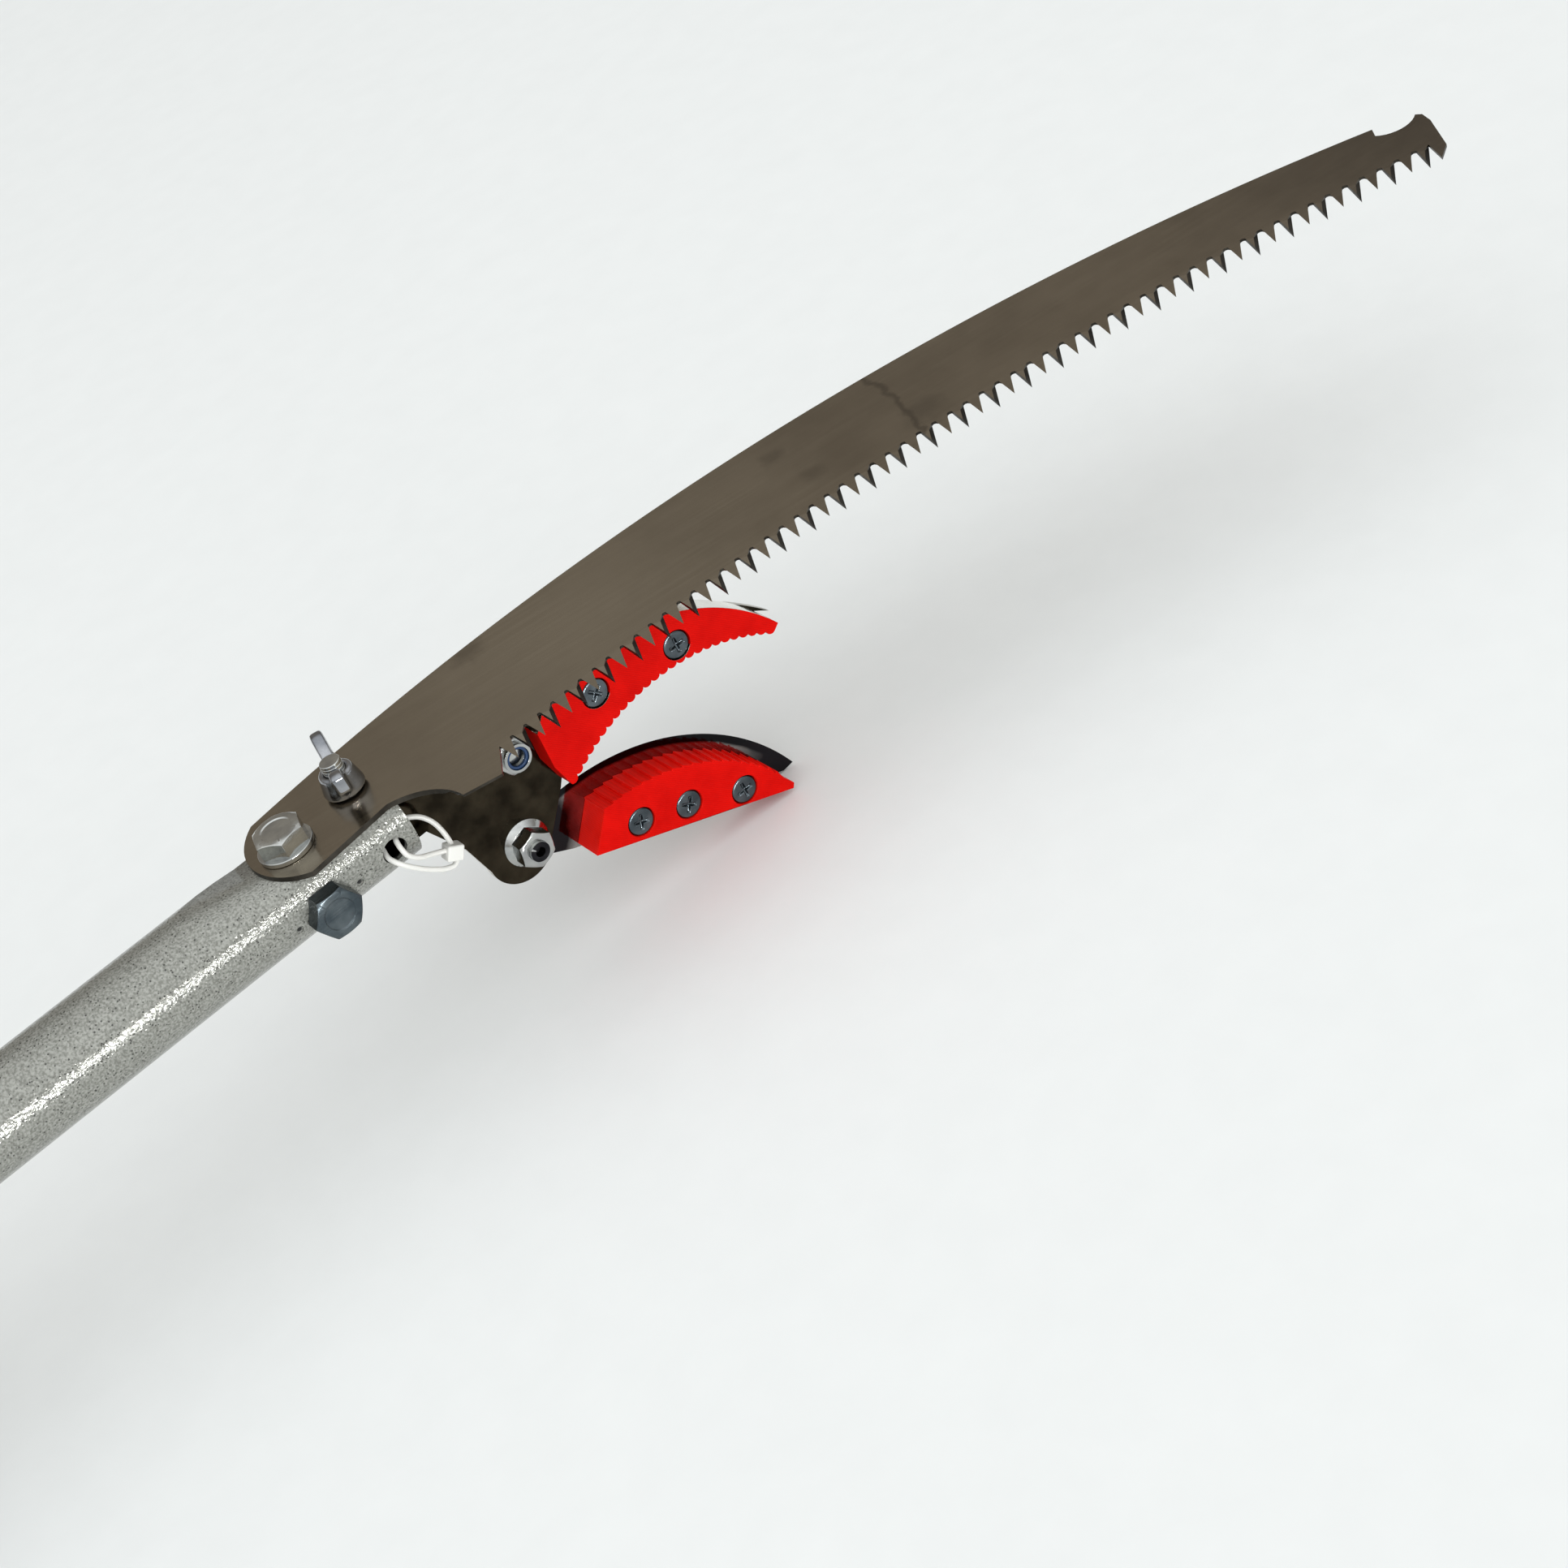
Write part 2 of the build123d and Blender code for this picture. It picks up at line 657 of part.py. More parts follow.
def ripple(arc, count, rise):
    """Small bumps along an arc, as a chain of arcs that stand out by rise."""
    chain = []
    for bump in range(count):
        start = arc @ (bump / count)
        end = arc @ ((bump + 1) / count)
        across = (end - start).normalized()
        crest = (start + end) * 0.5 + Vector(across.Y, -across.X) * rise
        chain.append(ThreePointArc(start, crest, end))
    return chain


def upper_grip():
    under = ThreePointArc(upper_root, upper_under, upper_end)
    outline = ripple(under, scallops, scallop_rise) + [
        Line(upper_end, upper_tip),
        ThreePointArc(upper_tip, upper_over, upper_crown),
        Polyline(upper_crown, upper_heel, upper_back, upper_root),
    ]
    grip = plate(Curve() + outline, -plate_thick, -plate_thick - grip_front_y)
    for x, z in upper_screws:
        grip -= rod_y_axis(m4_d / 2 + seated_gap, -far, far, saw_x + x, z)
        grip -= rod_y_axis(grip_head_d / 2 + seated_gap, -far, grip_front_y + m4_head, saw_x + x, z)
    return grip


def grip_screws(places, tip_y):
    group = []
    for x, z in places:
        reach = tip_y - grip_front_y - m4_head
        screw = Cylinder(m4_d / 2, reach, align=(Align.CENTER, Align.CENTER, Align.MAX))
        screw += pan_head(grip_head_d)
        group.append(toward_teeth(screw, saw_x + x, grip_front_y + m4_head, z))
    return Compound(children=group)


def pivot_bolt():
    head_seat = jaw_plane + blade_thick + side_gap + washer_thick
    end = -plate_thick - m6_nut - flange_thick - pivot_end
    bolt = rod_y_axis(m6_d / 2, end, head_seat, saw_x + pivot_x, pivot_z)
    bolt += toward_back(hexagon(m6_af, m6_head), saw_x + pivot_x, head_seat, pivot_z)
    return bolt - rod_y_axis(m6_d / 4, end - 1, end + m6_d / 2, saw_x + pivot_x, pivot_z)


def pivot_washer():
    start = jaw_plane + blade_thick + side_gap
    ring = rod_y_axis(flange_d / 2, start, start + washer_thick, saw_x + pivot_x, pivot_z)
    return ring - rod_y_axis(m6_d / 2 + seated_gap, -far, far, saw_x + pivot_x, pivot_z)


def pivot_nut():
    nut = Cone(flange_d / 2, m6_af / 2 + head_chamfer, flange_thick,
               align=(Align.CENTER, Align.CENTER, Align.MIN))
    nut += Pos(0, 0, flange_thick) * Rot(0, 0, pivot_nut_turn) * hexagon(m6_af, m6_nut)
    nut -= Cylinder(m6_d / 2 + seated_gap, far)
    return toward_teeth(nut, saw_x + pivot_x, -plate_thick, pivot_z)


def lower_blade():
    turn = radians(hub_low_turn)
    hub_low = (pivot_x + hub_r * sin(turn), pivot_z - hub_r * cos(turn))
    arc = ThreePointArc(blade_root, blade_crown, blade_tip)
    outline = [
        arc,
        Polyline(blade_tip, blade_heel, blade_low, hub_low, (pivot_x, pivot_z), blade_root),
    ]
    blade = make_face(Curve() + outline) + Pos(pivot_x, pivot_z) * Circle(hub_r)
    lean = jaw_travel / 2
    reach = drive_arm / cos(radians(lean))
    tail = Pos(0, reach / 2) * SlotCenterToCenter(reach, 2 * tail_half, rotation=90)
    slot = Pos(0, (reach + drive_arm) / 2) * SlotOverall(
        reach - drive_arm + m6_d + 4 * free_gap, m6_d + 2 * free_gap, rotation=90)
    turned = Pos(pivot_x, pivot_z) * Rot(0, 0, -lean)
    blade = blade + turned * tail - turned * slot
    solid = extrude(side_plane(jaw_plane + blade_thick) * blade, blade_thick)
    depth = blade_thick - blade_land
    ground = upright(arc.radius + blade_bevel, depth) - Cone(
        arc.radius, arc.radius - blade_bevel, depth, align=(Align.CENTER, Align.CENTER, Align.MIN))
    ground = toward_back(ground, saw_x + arc.arc_center.X, jaw_plane + blade_land, arc.arc_center.Y)
    solid -= ground & block((saw_x + blade_root[0], -far, -far), (saw_x + far, far, far))
    solid -= rod_y_axis(m6_d / 2 + running_gap, -far, far, saw_x + pivot_x, pivot_z)
    for x, z in lower_screws:
        solid -= rod_y_axis(m4_d / 2 + seated_gap, -far, far, saw_x + x, z)
    return solid


def lower_grip():
    crown = ThreePointArc(lower_back, lower_crown, lower_front)
    ridge = []
    for step in range(steps):
        start = crown @ (step / steps)
        end = crown @ ((step + 1) / steps)
        across = (end - start).normalized()
        ridge += [start, start + Vector(-across.Y, across.X) * step_rise]
    ridge = [(corner.X, corner.Y) for corner in ridge]
    outline = Polyline(*ridge, lower_front, lower_tip, lower_end, lower_heel, close=True)
    grip = plate(outline, jaw_plane, jaw_plane - grip_front_y)
    for x, z in lower_screws:
        grip -= rod_y_axis(m4_d / 2 + seated_gap, -far, far, saw_x + x, z)
        grip -= rod_y_axis(grip_head_d / 2 + seated_gap, -far, grip_front_y + m4_head, saw_x + x, z)
    return grip


def pull_rod():
    rod = rod_x(rod_d / 2, inner_back + rod_tail, saw_x + eye_back + eye_r, rod_y, rod_z)
    eye = make_face(Polyline((eye_back, rod_z - eye_r), (drive_x, rod_z - eye_r), (drive_x, rod_z + eye_r),
                             (eye_back, rod_z + eye_r), close=True))
    eye += Pos(drive_x, rod_z) * Circle(eye_r)
    rod += extrude(side_plane(eye_plane + eye_thick) * eye, eye_thick)
    return rod - rod_y_axis(m6_d / 2 + seated_gap, -far, far, saw_x + drive_x, rod_z)


def drive_washer():
    start = -plate_thick - side_gap
    rim = m6_af / 2 + drive_washer_rim
    ring = rod_y_axis(rim, start - drive_washer_thick, start, saw_x + drive_x, rod_z)
    return ring - rod_y_axis(m6_d / 2 + seated_gap, -far, far, saw_x + drive_x, rod_z)


def drive_bolt():
    head_seat = eye_plane + eye_thick
    end = -plate_thick - side_gap - drive_washer_thick - m6_nut + recess_depth
    bolt = rod_y_axis(m6_d / 2, end, head_seat, saw_x + drive_x, rod_z)
    return bolt + toward_back(hexagon(m6_af, m6_head), saw_x + drive_x, head_seat, rod_z)


def drive_nut():
    nut = hexagon(m6_af, m6_nut)
    nut += upright(collar_d / 2, m6_nut + nyloc_collar)
    nut -= Cylinder(m6_d / 2 + seated_gap, far)
    nut -= Pos(0, 0, m6_nut) * upright(insert_d / 2, far)
    return toward_teeth(nut, saw_x + drive_x, -plate_thick - side_gap - drive_washer_thick, rod_z)


def drive_nut_insert():
    ring = upright(insert_d / 2 - seated_gap, nyloc_collar - nyloc_lip)
    ring -= Cylinder(insert_hole / 2, far)
    seat = -plate_thick - side_gap - drive_washer_thick - m6_nut
    return toward_teeth(ring, saw_x + drive_x, seat, rod_z)


def tie_strand(*route):
    """A strand of the nylon tie along straight runs joined by arcs."""
    route = [Vector(saw_x + x, y, z) for x, y, z in route]
    radii = []
    for before, here, after in zip(route, route[1:], route[2:]):
        turn = radians((here - before).get_angle(after - here))
        radii.append(0.45 * min((here - before).length, (after - here).length) / tan(turn / 2))
    path = FilletPolyline(*route, radius=radii)
    return sweep(Plane(origin=path @ 0, z_dir=path % 0) * Circle(tie_d / 2), path=path)


def cable_tie():
    """The tie goes in at the side hole, out at the tube's open end and back into its head."""
    loop = tie_strand((32.6, -12.6, -12.9), (28.5, -13.6, -10.3), (25.0, -15.0, -7.9), (22.5, -15.7, -4.5),
                      (22.2, -15.0, -1.9), (22.8, -12.2, -0.5), (25.2, -8.4, 0.0), (29.0, -6.6, -0.4),
                      (32.8, -7.8, -2.4), (34.9, -9.0, -5.7), (35.5, -10.6, -9.4), (35.3, -12.0, -13.0))
    tail = tie_strand((34.9, -12.4, -15.6), (34.6, -12.4, -17.6), (32.8, -12.9, -18.6), (29.6, -13.6, -16.8),
                      (24.8, -14.9, -12.0), (21.0, -15.5, -7.2), (19.2, -14.9, -4.6), (18.4, -12.6, -3.4),
                      (19.2, -9.6, -2.4))
    head = Pos(saw_x + tie_head_x, tie_head_y, tie_head_z) * Rot(0, tie_head_turn, 0) * Box(*tie_head)
    return fillet(head.edges(), tie_head_round) + loop + tail


nodes = {
    "outer_tube": outer_tube(),
    "end_cap": end_cap(),
    "hand_grip": hand_grip(),
    "rear_rod_guide": rear_rod_guide(),
    "front_bush": front_bush(),
    "clamp_collar": clamp_collar(),
    "clamp_screw": clamp_screw(),
    "clamp_knob": clamp_knob(),
    "housing_left": housing_half_shell(1),
    "housing_right": housing_half_shell(-1),
    "housing_screws": housing_screws(),
    "trigger": trigger(),
    "trigger_pin": trigger_pin(),
    "return_spring": return_spring(),
    "lower_rod": lower_rod(),
    "cross_pin": cross_pin(),
    "inner_tube": inner_tube(),
    "rear_bush": rear_bush(),
    "inner_rod_guide": inner_rod_guide(),
    "head_plug": head_plug(),
    "saw_blade": saw_blade(),
    "saw_washer": saw_washer(),
    "saw_bolt": saw_bolt(),
    "saw_stud": saw_stud(),
    "wing_nut": wing_nut(),
    "side_bolt": side_bolt(),
    "fixed_jaw": fixed_jaw(),
    "upper_grip": upper_grip(),
    "upper_grip_screws": grip_screws(upper_screws, 0),
    "pivot_bolt": pivot_bolt(),
    "pivot_washer": pivot_washer(),
    "pivot_nut": pivot_nut(),
    "lower_blade": lower_blade(),
    "lower_grip": lower_grip(),
    "lower_grip_screws": grip_screws(lower_screws, jaw_plane + blade_thick),
    "pull_rod": pull_rod(),
    "drive_washer": drive_washer(),
    "drive_bolt": drive_bolt(),
    "drive_nut": drive_nut(),
    "drive_nut_insert": drive_nut_insert(),
    "cable_tie": cable_tie(),
}

os.makedirs("parts", exist_ok=True)
for name, shape in nodes.items():
    export_step(shape, f"parts/{name}.step")
print("stroke", round(stroke, 4), "trigger travel", round(trigger_travel, 4), "saw bolt", saw_x)
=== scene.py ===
import math

import bmesh
import bpy
from mathutils import Matrix, Vector


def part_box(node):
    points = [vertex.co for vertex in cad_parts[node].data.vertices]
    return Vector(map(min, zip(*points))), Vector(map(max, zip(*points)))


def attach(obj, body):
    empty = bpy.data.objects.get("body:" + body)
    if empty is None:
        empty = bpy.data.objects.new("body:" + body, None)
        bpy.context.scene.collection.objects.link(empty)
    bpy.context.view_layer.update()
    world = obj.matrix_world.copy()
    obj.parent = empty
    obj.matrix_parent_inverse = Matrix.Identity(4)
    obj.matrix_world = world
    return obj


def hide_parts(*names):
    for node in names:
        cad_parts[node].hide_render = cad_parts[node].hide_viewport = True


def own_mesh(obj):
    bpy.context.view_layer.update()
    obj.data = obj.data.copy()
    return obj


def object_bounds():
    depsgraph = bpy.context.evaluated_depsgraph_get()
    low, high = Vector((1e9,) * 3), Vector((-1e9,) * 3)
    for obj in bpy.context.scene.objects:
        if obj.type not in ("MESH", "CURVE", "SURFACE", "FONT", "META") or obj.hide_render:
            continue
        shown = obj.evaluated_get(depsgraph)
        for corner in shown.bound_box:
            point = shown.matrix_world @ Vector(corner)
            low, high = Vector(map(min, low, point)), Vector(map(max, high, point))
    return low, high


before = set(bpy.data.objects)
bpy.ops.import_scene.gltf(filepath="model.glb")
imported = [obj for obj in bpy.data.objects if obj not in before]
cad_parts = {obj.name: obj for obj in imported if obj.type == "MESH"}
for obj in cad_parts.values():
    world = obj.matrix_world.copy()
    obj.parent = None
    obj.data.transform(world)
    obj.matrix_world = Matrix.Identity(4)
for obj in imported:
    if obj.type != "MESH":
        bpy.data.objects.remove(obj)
solid_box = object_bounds()

# Lower pole: a welded steel tube with a slot for the trigger's arm and a slit for the clamp.
# It is sprayed with silver hammertone paint, which dries in shallow dimples with dark specks.


def feed(tree, socket, amount):
    """Wire a socket into this one, or set its own value."""
    if isinstance(amount, bpy.types.NodeSocket):
        tree.links.new(amount, socket)
    else:
        socket.default_value = amount


def fill(tree, sockets, **values):
    """Feed sockets by name; an underscore stands for a space."""
    for label, amount in values.items():
        feed(tree, sockets[label.replace("_", " ")], amount)


def step(tree, kind, **values):
    """The outputs of a new node with its inputs fed."""
    node = tree.nodes.new(kind)
    fill(tree, node.inputs, **values)
    return node.outputs


def noise(tree, where, scale, detail):
    return step(tree, "ShaderNodeTexNoise", Vector=where, Scale=scale, Detail=detail)["Fac"]


def remap(tree, value, low, high, to_low=0.0, to_high=1.0):
    """Stretch the part of a value between low and high over a new range."""
    return step(tree, "ShaderNodeMapRange", Value=value, From_Min=low, From_Max=high,
                To_Min=to_low, To_Max=to_high)["Result"]


def combine(tree, operation, first, second=0.0):
    """One Math node on sockets or numbers."""
    node = tree.nodes.new("ShaderNodeMath")
    node.operation = operation
    feed(tree, node.inputs[0], first)
    feed(tree, node.inputs[1], second)
    return node.outputs["Value"]


def tint(tree, mask, plain, marked):
    """Colour that goes from plain to marked as the mask rises."""
    node = tree.nodes.new("ShaderNodeMix")
    node.data_type = "RGBA"
    feed(tree, node.inputs["Factor"], mask)
    for label, colour in (("A", plain), ("B", marked)):
        socket = next(s for s in node.inputs if s.name == label and s.type == "RGBA")
        feed(tree, socket, (*colour, 1) if isinstance(colour, tuple) else colour)
    return next(s for s in node.outputs if s.type == "RGBA")


def effect_group(name, values, results):
    """An empty shader group with a vector, number inputs and the named results."""
    group = bpy.data.node_groups.new(name, "ShaderNodeTree")
    face = group.interface
    face.new_socket("Vector", in_out="INPUT", socket_type="NodeSocketVector")
    for label, amount in values.items():
        socket = face.new_socket(label, in_out="INPUT", socket_type="NodeSocketFloat")
        socket.default_value = amount
    for label in results:
        face.new_socket(label, in_out="OUTPUT", socket_type="NodeSocketFloat")
    return group, group.nodes.new("NodeGroupInput").outputs, group.nodes.new("NodeGroupOutput").inputs


def place_effect(tree, group, turn=(0, 0, 0), middle=(0, 0, 0), **values):
    """The group in a material, reading the piece's own coordinates."""
    own_place = step(tree, "ShaderNodeTexCoord")["Object"]
    mapping = tree.nodes.new("ShaderNodeMapping")
    mapping.vector_type = "TEXTURE"
    fill(tree, mapping.inputs, Vector=own_place, Location=middle, Rotation=turn)
    effect = tree.nodes.new("ShaderNodeGroup")
    effect.node_tree = group
    fill(tree, effect.inputs, Vector=mapping.outputs["Vector"], **values)
    return effect.outputs


def finish_with(name, group, **placing):
    """A new material, its node tree, its main shader's inputs and the outputs of an effect in it."""
    finish = bpy.data.materials.new(name)
    finish.use_nodes = True
    tree = finish.node_tree
    return finish, tree, tree.nodes["Principled BSDF"].inputs, place_effect(tree, group, **placing)


def raise_surface(tree, shader, height, strength, depth):
    """Feed a height into the shader's normal."""
    bump = step(tree, "ShaderNodeBump", Height=height, Strength=strength, Distance=depth)
    feed(tree, shader["Normal"], bump["Normal"])


def hammered_group():
    """Shallow dimples, dense flecks, scattered dark specks and a slow change of tone."""
    values = {"Dimple Scale": 1000.0, "Fleck Scale": 1500.0, "Speck Scale": 1000.0}
    tree, given, result = effect_group("hammertone", values, ("Dimples", "Flecks", "Specks", "Tone"))
    where = given["Vector"]
    grains = step(tree, "ShaderNodeTexVoronoi", Vector=where, Scale=given["Speck Scale"])
    size = remap(tree, grains["Color"], 0.15, 0.7, 0.0, 0.3)
    inside = combine(tree, "SUBTRACT", size, grains["Distance"])
    fill(tree, result, Dimples=noise(tree, where, given["Dimple Scale"], 2.0),
         Flecks=noise(tree, where, given["Fleck Scale"], 1.0),
         Specks=remap(tree, inside, 0.0, 0.06), Tone=noise(tree, where, 240.0, 6.0))
    return tree


hammered = hammered_group()


def stain_group():
    """A mark with a ragged rim, round a middle that the mapping sets."""
    values = {"Radius": 0.006, "Rim": 0.0015, "Ragged": 0.006}
    tree, given, result = effect_group("ragged_mark", values, ("Rim", "Inside"))
    length = tree.nodes.new("ShaderNodeVectorMath")
    length.operation = "LENGTH"
    feed(tree, length.inputs[0], given["Vector"])
    rough = combine(tree, "SUBTRACT", noise(tree, given["Vector"], 130.0, 4.0), 0.5)
    shove = combine(tree, "MULTIPLY", rough, given["Ragged"])
    shoved = combine(tree, "ADD", length.outputs["Value"], shove)
    reach = combine(tree, "SUBTRACT", shoved, given["Radius"])
    rims = combine(tree, "DIVIDE", reach, given["Rim"])
    fill(tree, result, Rim=remap(tree, combine(tree, "ABSOLUTE", rims), 0.2, 1.0, 1.0, 0.0),
         Inside=remap(tree, rims, -0.5, 0.5, 1.0, 0.0))
    return tree


ragged_mark = stain_group()


def stained(tree, colour, stain, middle, depth=1.0, part="Inside", **values):
    """A colour with a ragged mark of another colour round a middle."""
    mark = place_effect(tree, ragged_mark, middle=middle, **values)[part]
    return tint(tree, combine(tree, "MULTIPLY", mark, depth), colour, stain)


def hammertone_paint(name, light, shade, dents=()):
    finish, tree, shader, effect = finish_with(name, hammered)
    speck_colour = (0.05, 0.05, 0.045)
    dimple_shade_colour = (0.012, 0.012, 0.012)
    colour = tint(tree, remap(tree, effect["Flecks"], 0.33, 0.67), shade, light)
    colour = tint(tree, effect["Specks"], colour, speck_colour)
    # Each dent gets a near-black spot in the paint: painted shade in the dimple.
    for dent in dents:
        colour = stained(tree, colour, dimple_shade_colour, dent, Radius=0.0009, Rim=0.0005, Ragged=0.002)
    gloss = remap(tree, effect["Tone"], 0.2, 0.8, 0.09, 0.17)
    fill(tree, shader, Base_Color=colour, Roughness=gloss, Metallic=0.3)
    raise_surface(tree, shader, effect["Dimples"], strength=1.0, depth=0.00018)
    return finish


def new_object(name, data):
    """An object in the scene's collection."""
    piece = bpy.data.objects.new(name, data)
    bpy.context.scene.collection.objects.link(piece)
    return piece


weld_distance = 1e-6


def finished_copy(node, body, finish, rounding=0.0, cut_edges=None):
    """The solid's own shape, joined up, shaded smooth and with its edges eased.

    A plate or pad that stands across Y may have its cut edges in a finish of their own.
    """
    one_plane = math.radians(0.5)
    sharp = math.radians(30)
    edge_slant = 0.5
    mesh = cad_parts[node].data.copy()
    shape = bmesh.new()
    shape.from_mesh(mesh)
    bmesh.ops.remove_doubles(shape, verts=shape.verts, dist=weld_distance)
    bmesh.ops.dissolve_limit(shape, angle_limit=one_plane, verts=shape.verts, edges=shape.edges)
    for face in shape.faces:
        face.smooth = True
    shape.to_mesh(mesh)
    shape.free()
    mesh.materials.clear()
    mesh.materials.append(finish)
    if cut_edges:
        mesh.materials.append(cut_edges)
        for face in mesh.polygons:
            face.material_index = int(abs(face.normal.y) < edge_slant)
    mesh.set_sharp_from_angle(angle=sharp)
    piece = new_object(node + "_finished", mesh)
    if rounding:
        ease = piece.modifiers.new("eased edges", "BEVEL")
        ease.width = rounding
        ease.segments = 2
        ease.limit_method = "ANGLE"
        ease.angle_limit = sharp
        level = piece.modifiers.new("level faces", "WEIGHTED_NORMAL")
        level.weight = 100
    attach(piece, body)
    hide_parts(node)
    return piece


def shade_as_tube(piece, *radii):
    """Normals of the round walls point straight away from the pole's axis, or to it.

    The saw's seat and the slope down to it are shaded as the round wall too, as on a pressed tube.
    """
    mesh = piece.data
    slack = 0.0001
    upward = 0.5
    sloping = 0.05
    level = 0.999
    along_wall = 0.985
    normals = [None] * len(mesh.loops)
    for face in mesh.polygons:
        pressed = face.normal.z > upward and (face.normal.x > sloping or face.normal.z > level)
        for loop in face.loop_indices:
            spot = mesh.vertices[mesh.loops[loop].vertex_index].co
            out = Vector((0, spot.y, spot.z))
            on_wall = any(abs(out.length - radius) < slack for radius in radii)
            out = out.normalized() * (1 if out.dot(face.normal) > 0 else -1)
            as_wall = pressed or (on_wall and out.dot(face.normal) > along_wall)
            normals[loop] = out if as_wall else face.normal
    mesh.normals_split_custom_set(normals)


def half_width(node):
    low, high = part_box(node)
    return (high.z - low.z) / 2


lower_paint = hammertone_paint("lower_pole_hammertone", (0.275, 0.28, 0.255), (0.145, 0.147, 0.13))
outer_wall = 0.0014
lower_skin = half_width("outer_tube")
lower_pole = finished_copy("outer_tube", "pole_lower", lower_paint)
shade_as_tube(lower_pole, lower_skin, lower_skin - outer_wall)

# End cap and clamp collar, with the bushes and guides in the tubes: black moulded plastic,
# pressed in or clamped on, with the fine grain of a spark-eroded mould.


def moulded_group():
    """The fine grain that a textured mould leaves, with dull and shiny patches."""
    tree, given, result = effect_group("moulded_grain", {"Grain Scale": 2200.0}, ("Grain", "Patches"))
    fill(tree, result, Grain=noise(tree, given["Vector"], given["Grain Scale"], 2.0),
         Patches=noise(tree, given["Vector"], 70.0, 5.0))
    return tree


moulded = moulded_group()
noise_span = (0.3, 0.7)


def moulding(name, dark, worn, rough, grain=0.3):
    finish, tree, shader, effect = finish_with(name, moulded)
    fill(tree, shader, Base_Color=tint(tree, effect["Patches"], dark, worn),
         Roughness=remap(tree, effect["Patches"], *noise_span, *rough))
    raise_surface(tree, shader, effect["Grain"], grain, depth=0.0002)
    return finish


black_plastic = moulding("black_moulded_plastic", (0.012, 0.012, 0.013), (0.028, 0.028, 0.030),
                         rough=(0.38, 0.55))
for node, body, rounding in (
    ("end_cap", "pole_lower", 0.0008),
    ("front_bush", "pole_lower", 0.0004),
    ("rear_rod_guide", "pole_lower", 0.0004),
    ("clamp_collar", "pole_lower", 0.0008),
    ("rear_bush", "pole_upper", 0.0004),
    ("inner_rod_guide", "pole_upper", 0.0004),
    ("head_plug", "pole_upper", 0.0003),
):
    finished_copy(node, body, black_plastic, rounding)

# Hand grip: a black rubber sleeve with ring grooves, pushed over the butt end. Rows of round
# pips stand between the grooves.


def grower_tree(name, inputs):
    """An empty geometry tree with the named inputs."""
    tree = bpy.data.node_groups.new(name, "GeometryNodeTree")
    tree.interface.new_socket("Geometry", in_out="INPUT", socket_type="NodeSocketGeometry")
    for label, kind in inputs.items():
        tree.interface.new_socket(label, in_out="INPUT", socket_type="NodeSocket" + kind)
    tree.interface.new_socket("Geometry", in_out="OUTPUT", socket_type="NodeSocketGeometry")
    end = tree.nodes.new("NodeGroupOutput").inputs["Geometry"]
    return tree, tree.nodes.new("NodeGroupInput").outputs, end


def geometry(tree, kind, **values):
    """The first output of a new geometry node."""
    return step(tree, "GeometryNode" + kind, **values)[0]


def copies_at(tree, points, shape, heading, **more):
    """A copy of one shape at each point, turned to its heading."""
    source = step(tree, "GeometryNodeObjectInfo", Object=shape)["Geometry"]
    return geometry(tree, "InstanceOnPoints", Points=points, Instance=source, Rotation=heading, **more)


def finish_tree(tree, shape, material, end):
    """Every tree ends in real faces that carry their material."""
    real = geometry(tree, "RealizeInstances", Geometry=shape)
    dressed = geometry(tree, "SetMaterial", Geometry=real, Material=material)
    feed(tree, end, dressed)
    return dressed


def grow(name, tree, base=None, **values):
    """Run a geometry tree, keep what it makes as a plain mesh and take away the shapes it copied."""
    piece = new_object(name, base or bpy.data.meshes.new(name))
    modifier = piece.modifiers.new(name, "NODES")
    modifier.node_group = tree
    for item in tree.interface.items_tree:
        if item.item_type == "SOCKET" and item.in_out == "INPUT" and item.name in values:
            modifier[item.identifier] = values[item.name]
    shown = piece.evaluated_get(bpy.context.evaluated_depsgraph_get())
    piece.data = bpy.data.meshes.new_from_object(shown)
    piece.modifiers.remove(modifier)
    for value in values.values():
        if isinstance(value, bpy.types.Object):
            bpy.data.objects.remove(value)
    return piece


def as_mesh(name, shape):
    mesh = bpy.data.meshes.new(name)
    shape.to_mesh(mesh)
    shape.free()
    return mesh


def loose_shape(name, shape, smooth=True):
    """A small shape for a tree to copy."""
    for face in shape.faces:
        face.smooth = smooth
    return new_object(name, as_mesh(name, shape))


def pip_rows_tree():
    """Copies of one shape in rings round the pole's axis, each ring half a step on from the last."""
    inputs = {"Shape": "Object", "Rows": "Int", "Around": "Int", "First": "Float", "Pitch": "Float",
              "Radius": "Float", "Finish": "Material"}
    tree, given, end = grower_tree("rows round the pole", inputs)
    count = combine(tree, "MULTIPLY", given["Rows"], given["Around"])
    spots = geometry(tree, "MeshLine", Count=count, Offset=(0, 0, 0))
    index = geometry(tree, "InputIndex")
    row = combine(tree, "FLOOR", combine(tree, "DIVIDE", index, given["Around"]))
    shifted = combine(tree, "ADD", index, combine(tree, "MULTIPLY", row, 0.5))
    turn = combine(tree, "MULTIPLY", combine(tree, "DIVIDE", shifted, given["Around"]), 2 * math.pi)
    along = combine(tree, "ADD", given["First"], combine(tree, "MULTIPLY", row, given["Pitch"]))
    across = combine(tree, "MULTIPLY", combine(tree, "SINE", turn), given["Radius"])
    across = combine(tree, "MULTIPLY", across, -1.0)
    upward = combine(tree, "MULTIPLY", combine(tree, "COSINE", turn), given["Radius"])
    place = step(tree, "ShaderNodeCombineXYZ", X=along, Y=across, Z=upward)["Vector"]
    placed = geometry(tree, "SetPosition", Geometry=spots, Position=place)
    heading = step(tree, "ShaderNodeCombineXYZ", X=turn)["Vector"]
    finish_tree(tree, copies_at(tree, placed, given["Shape"], heading), given["Finish"], end)
    return tree


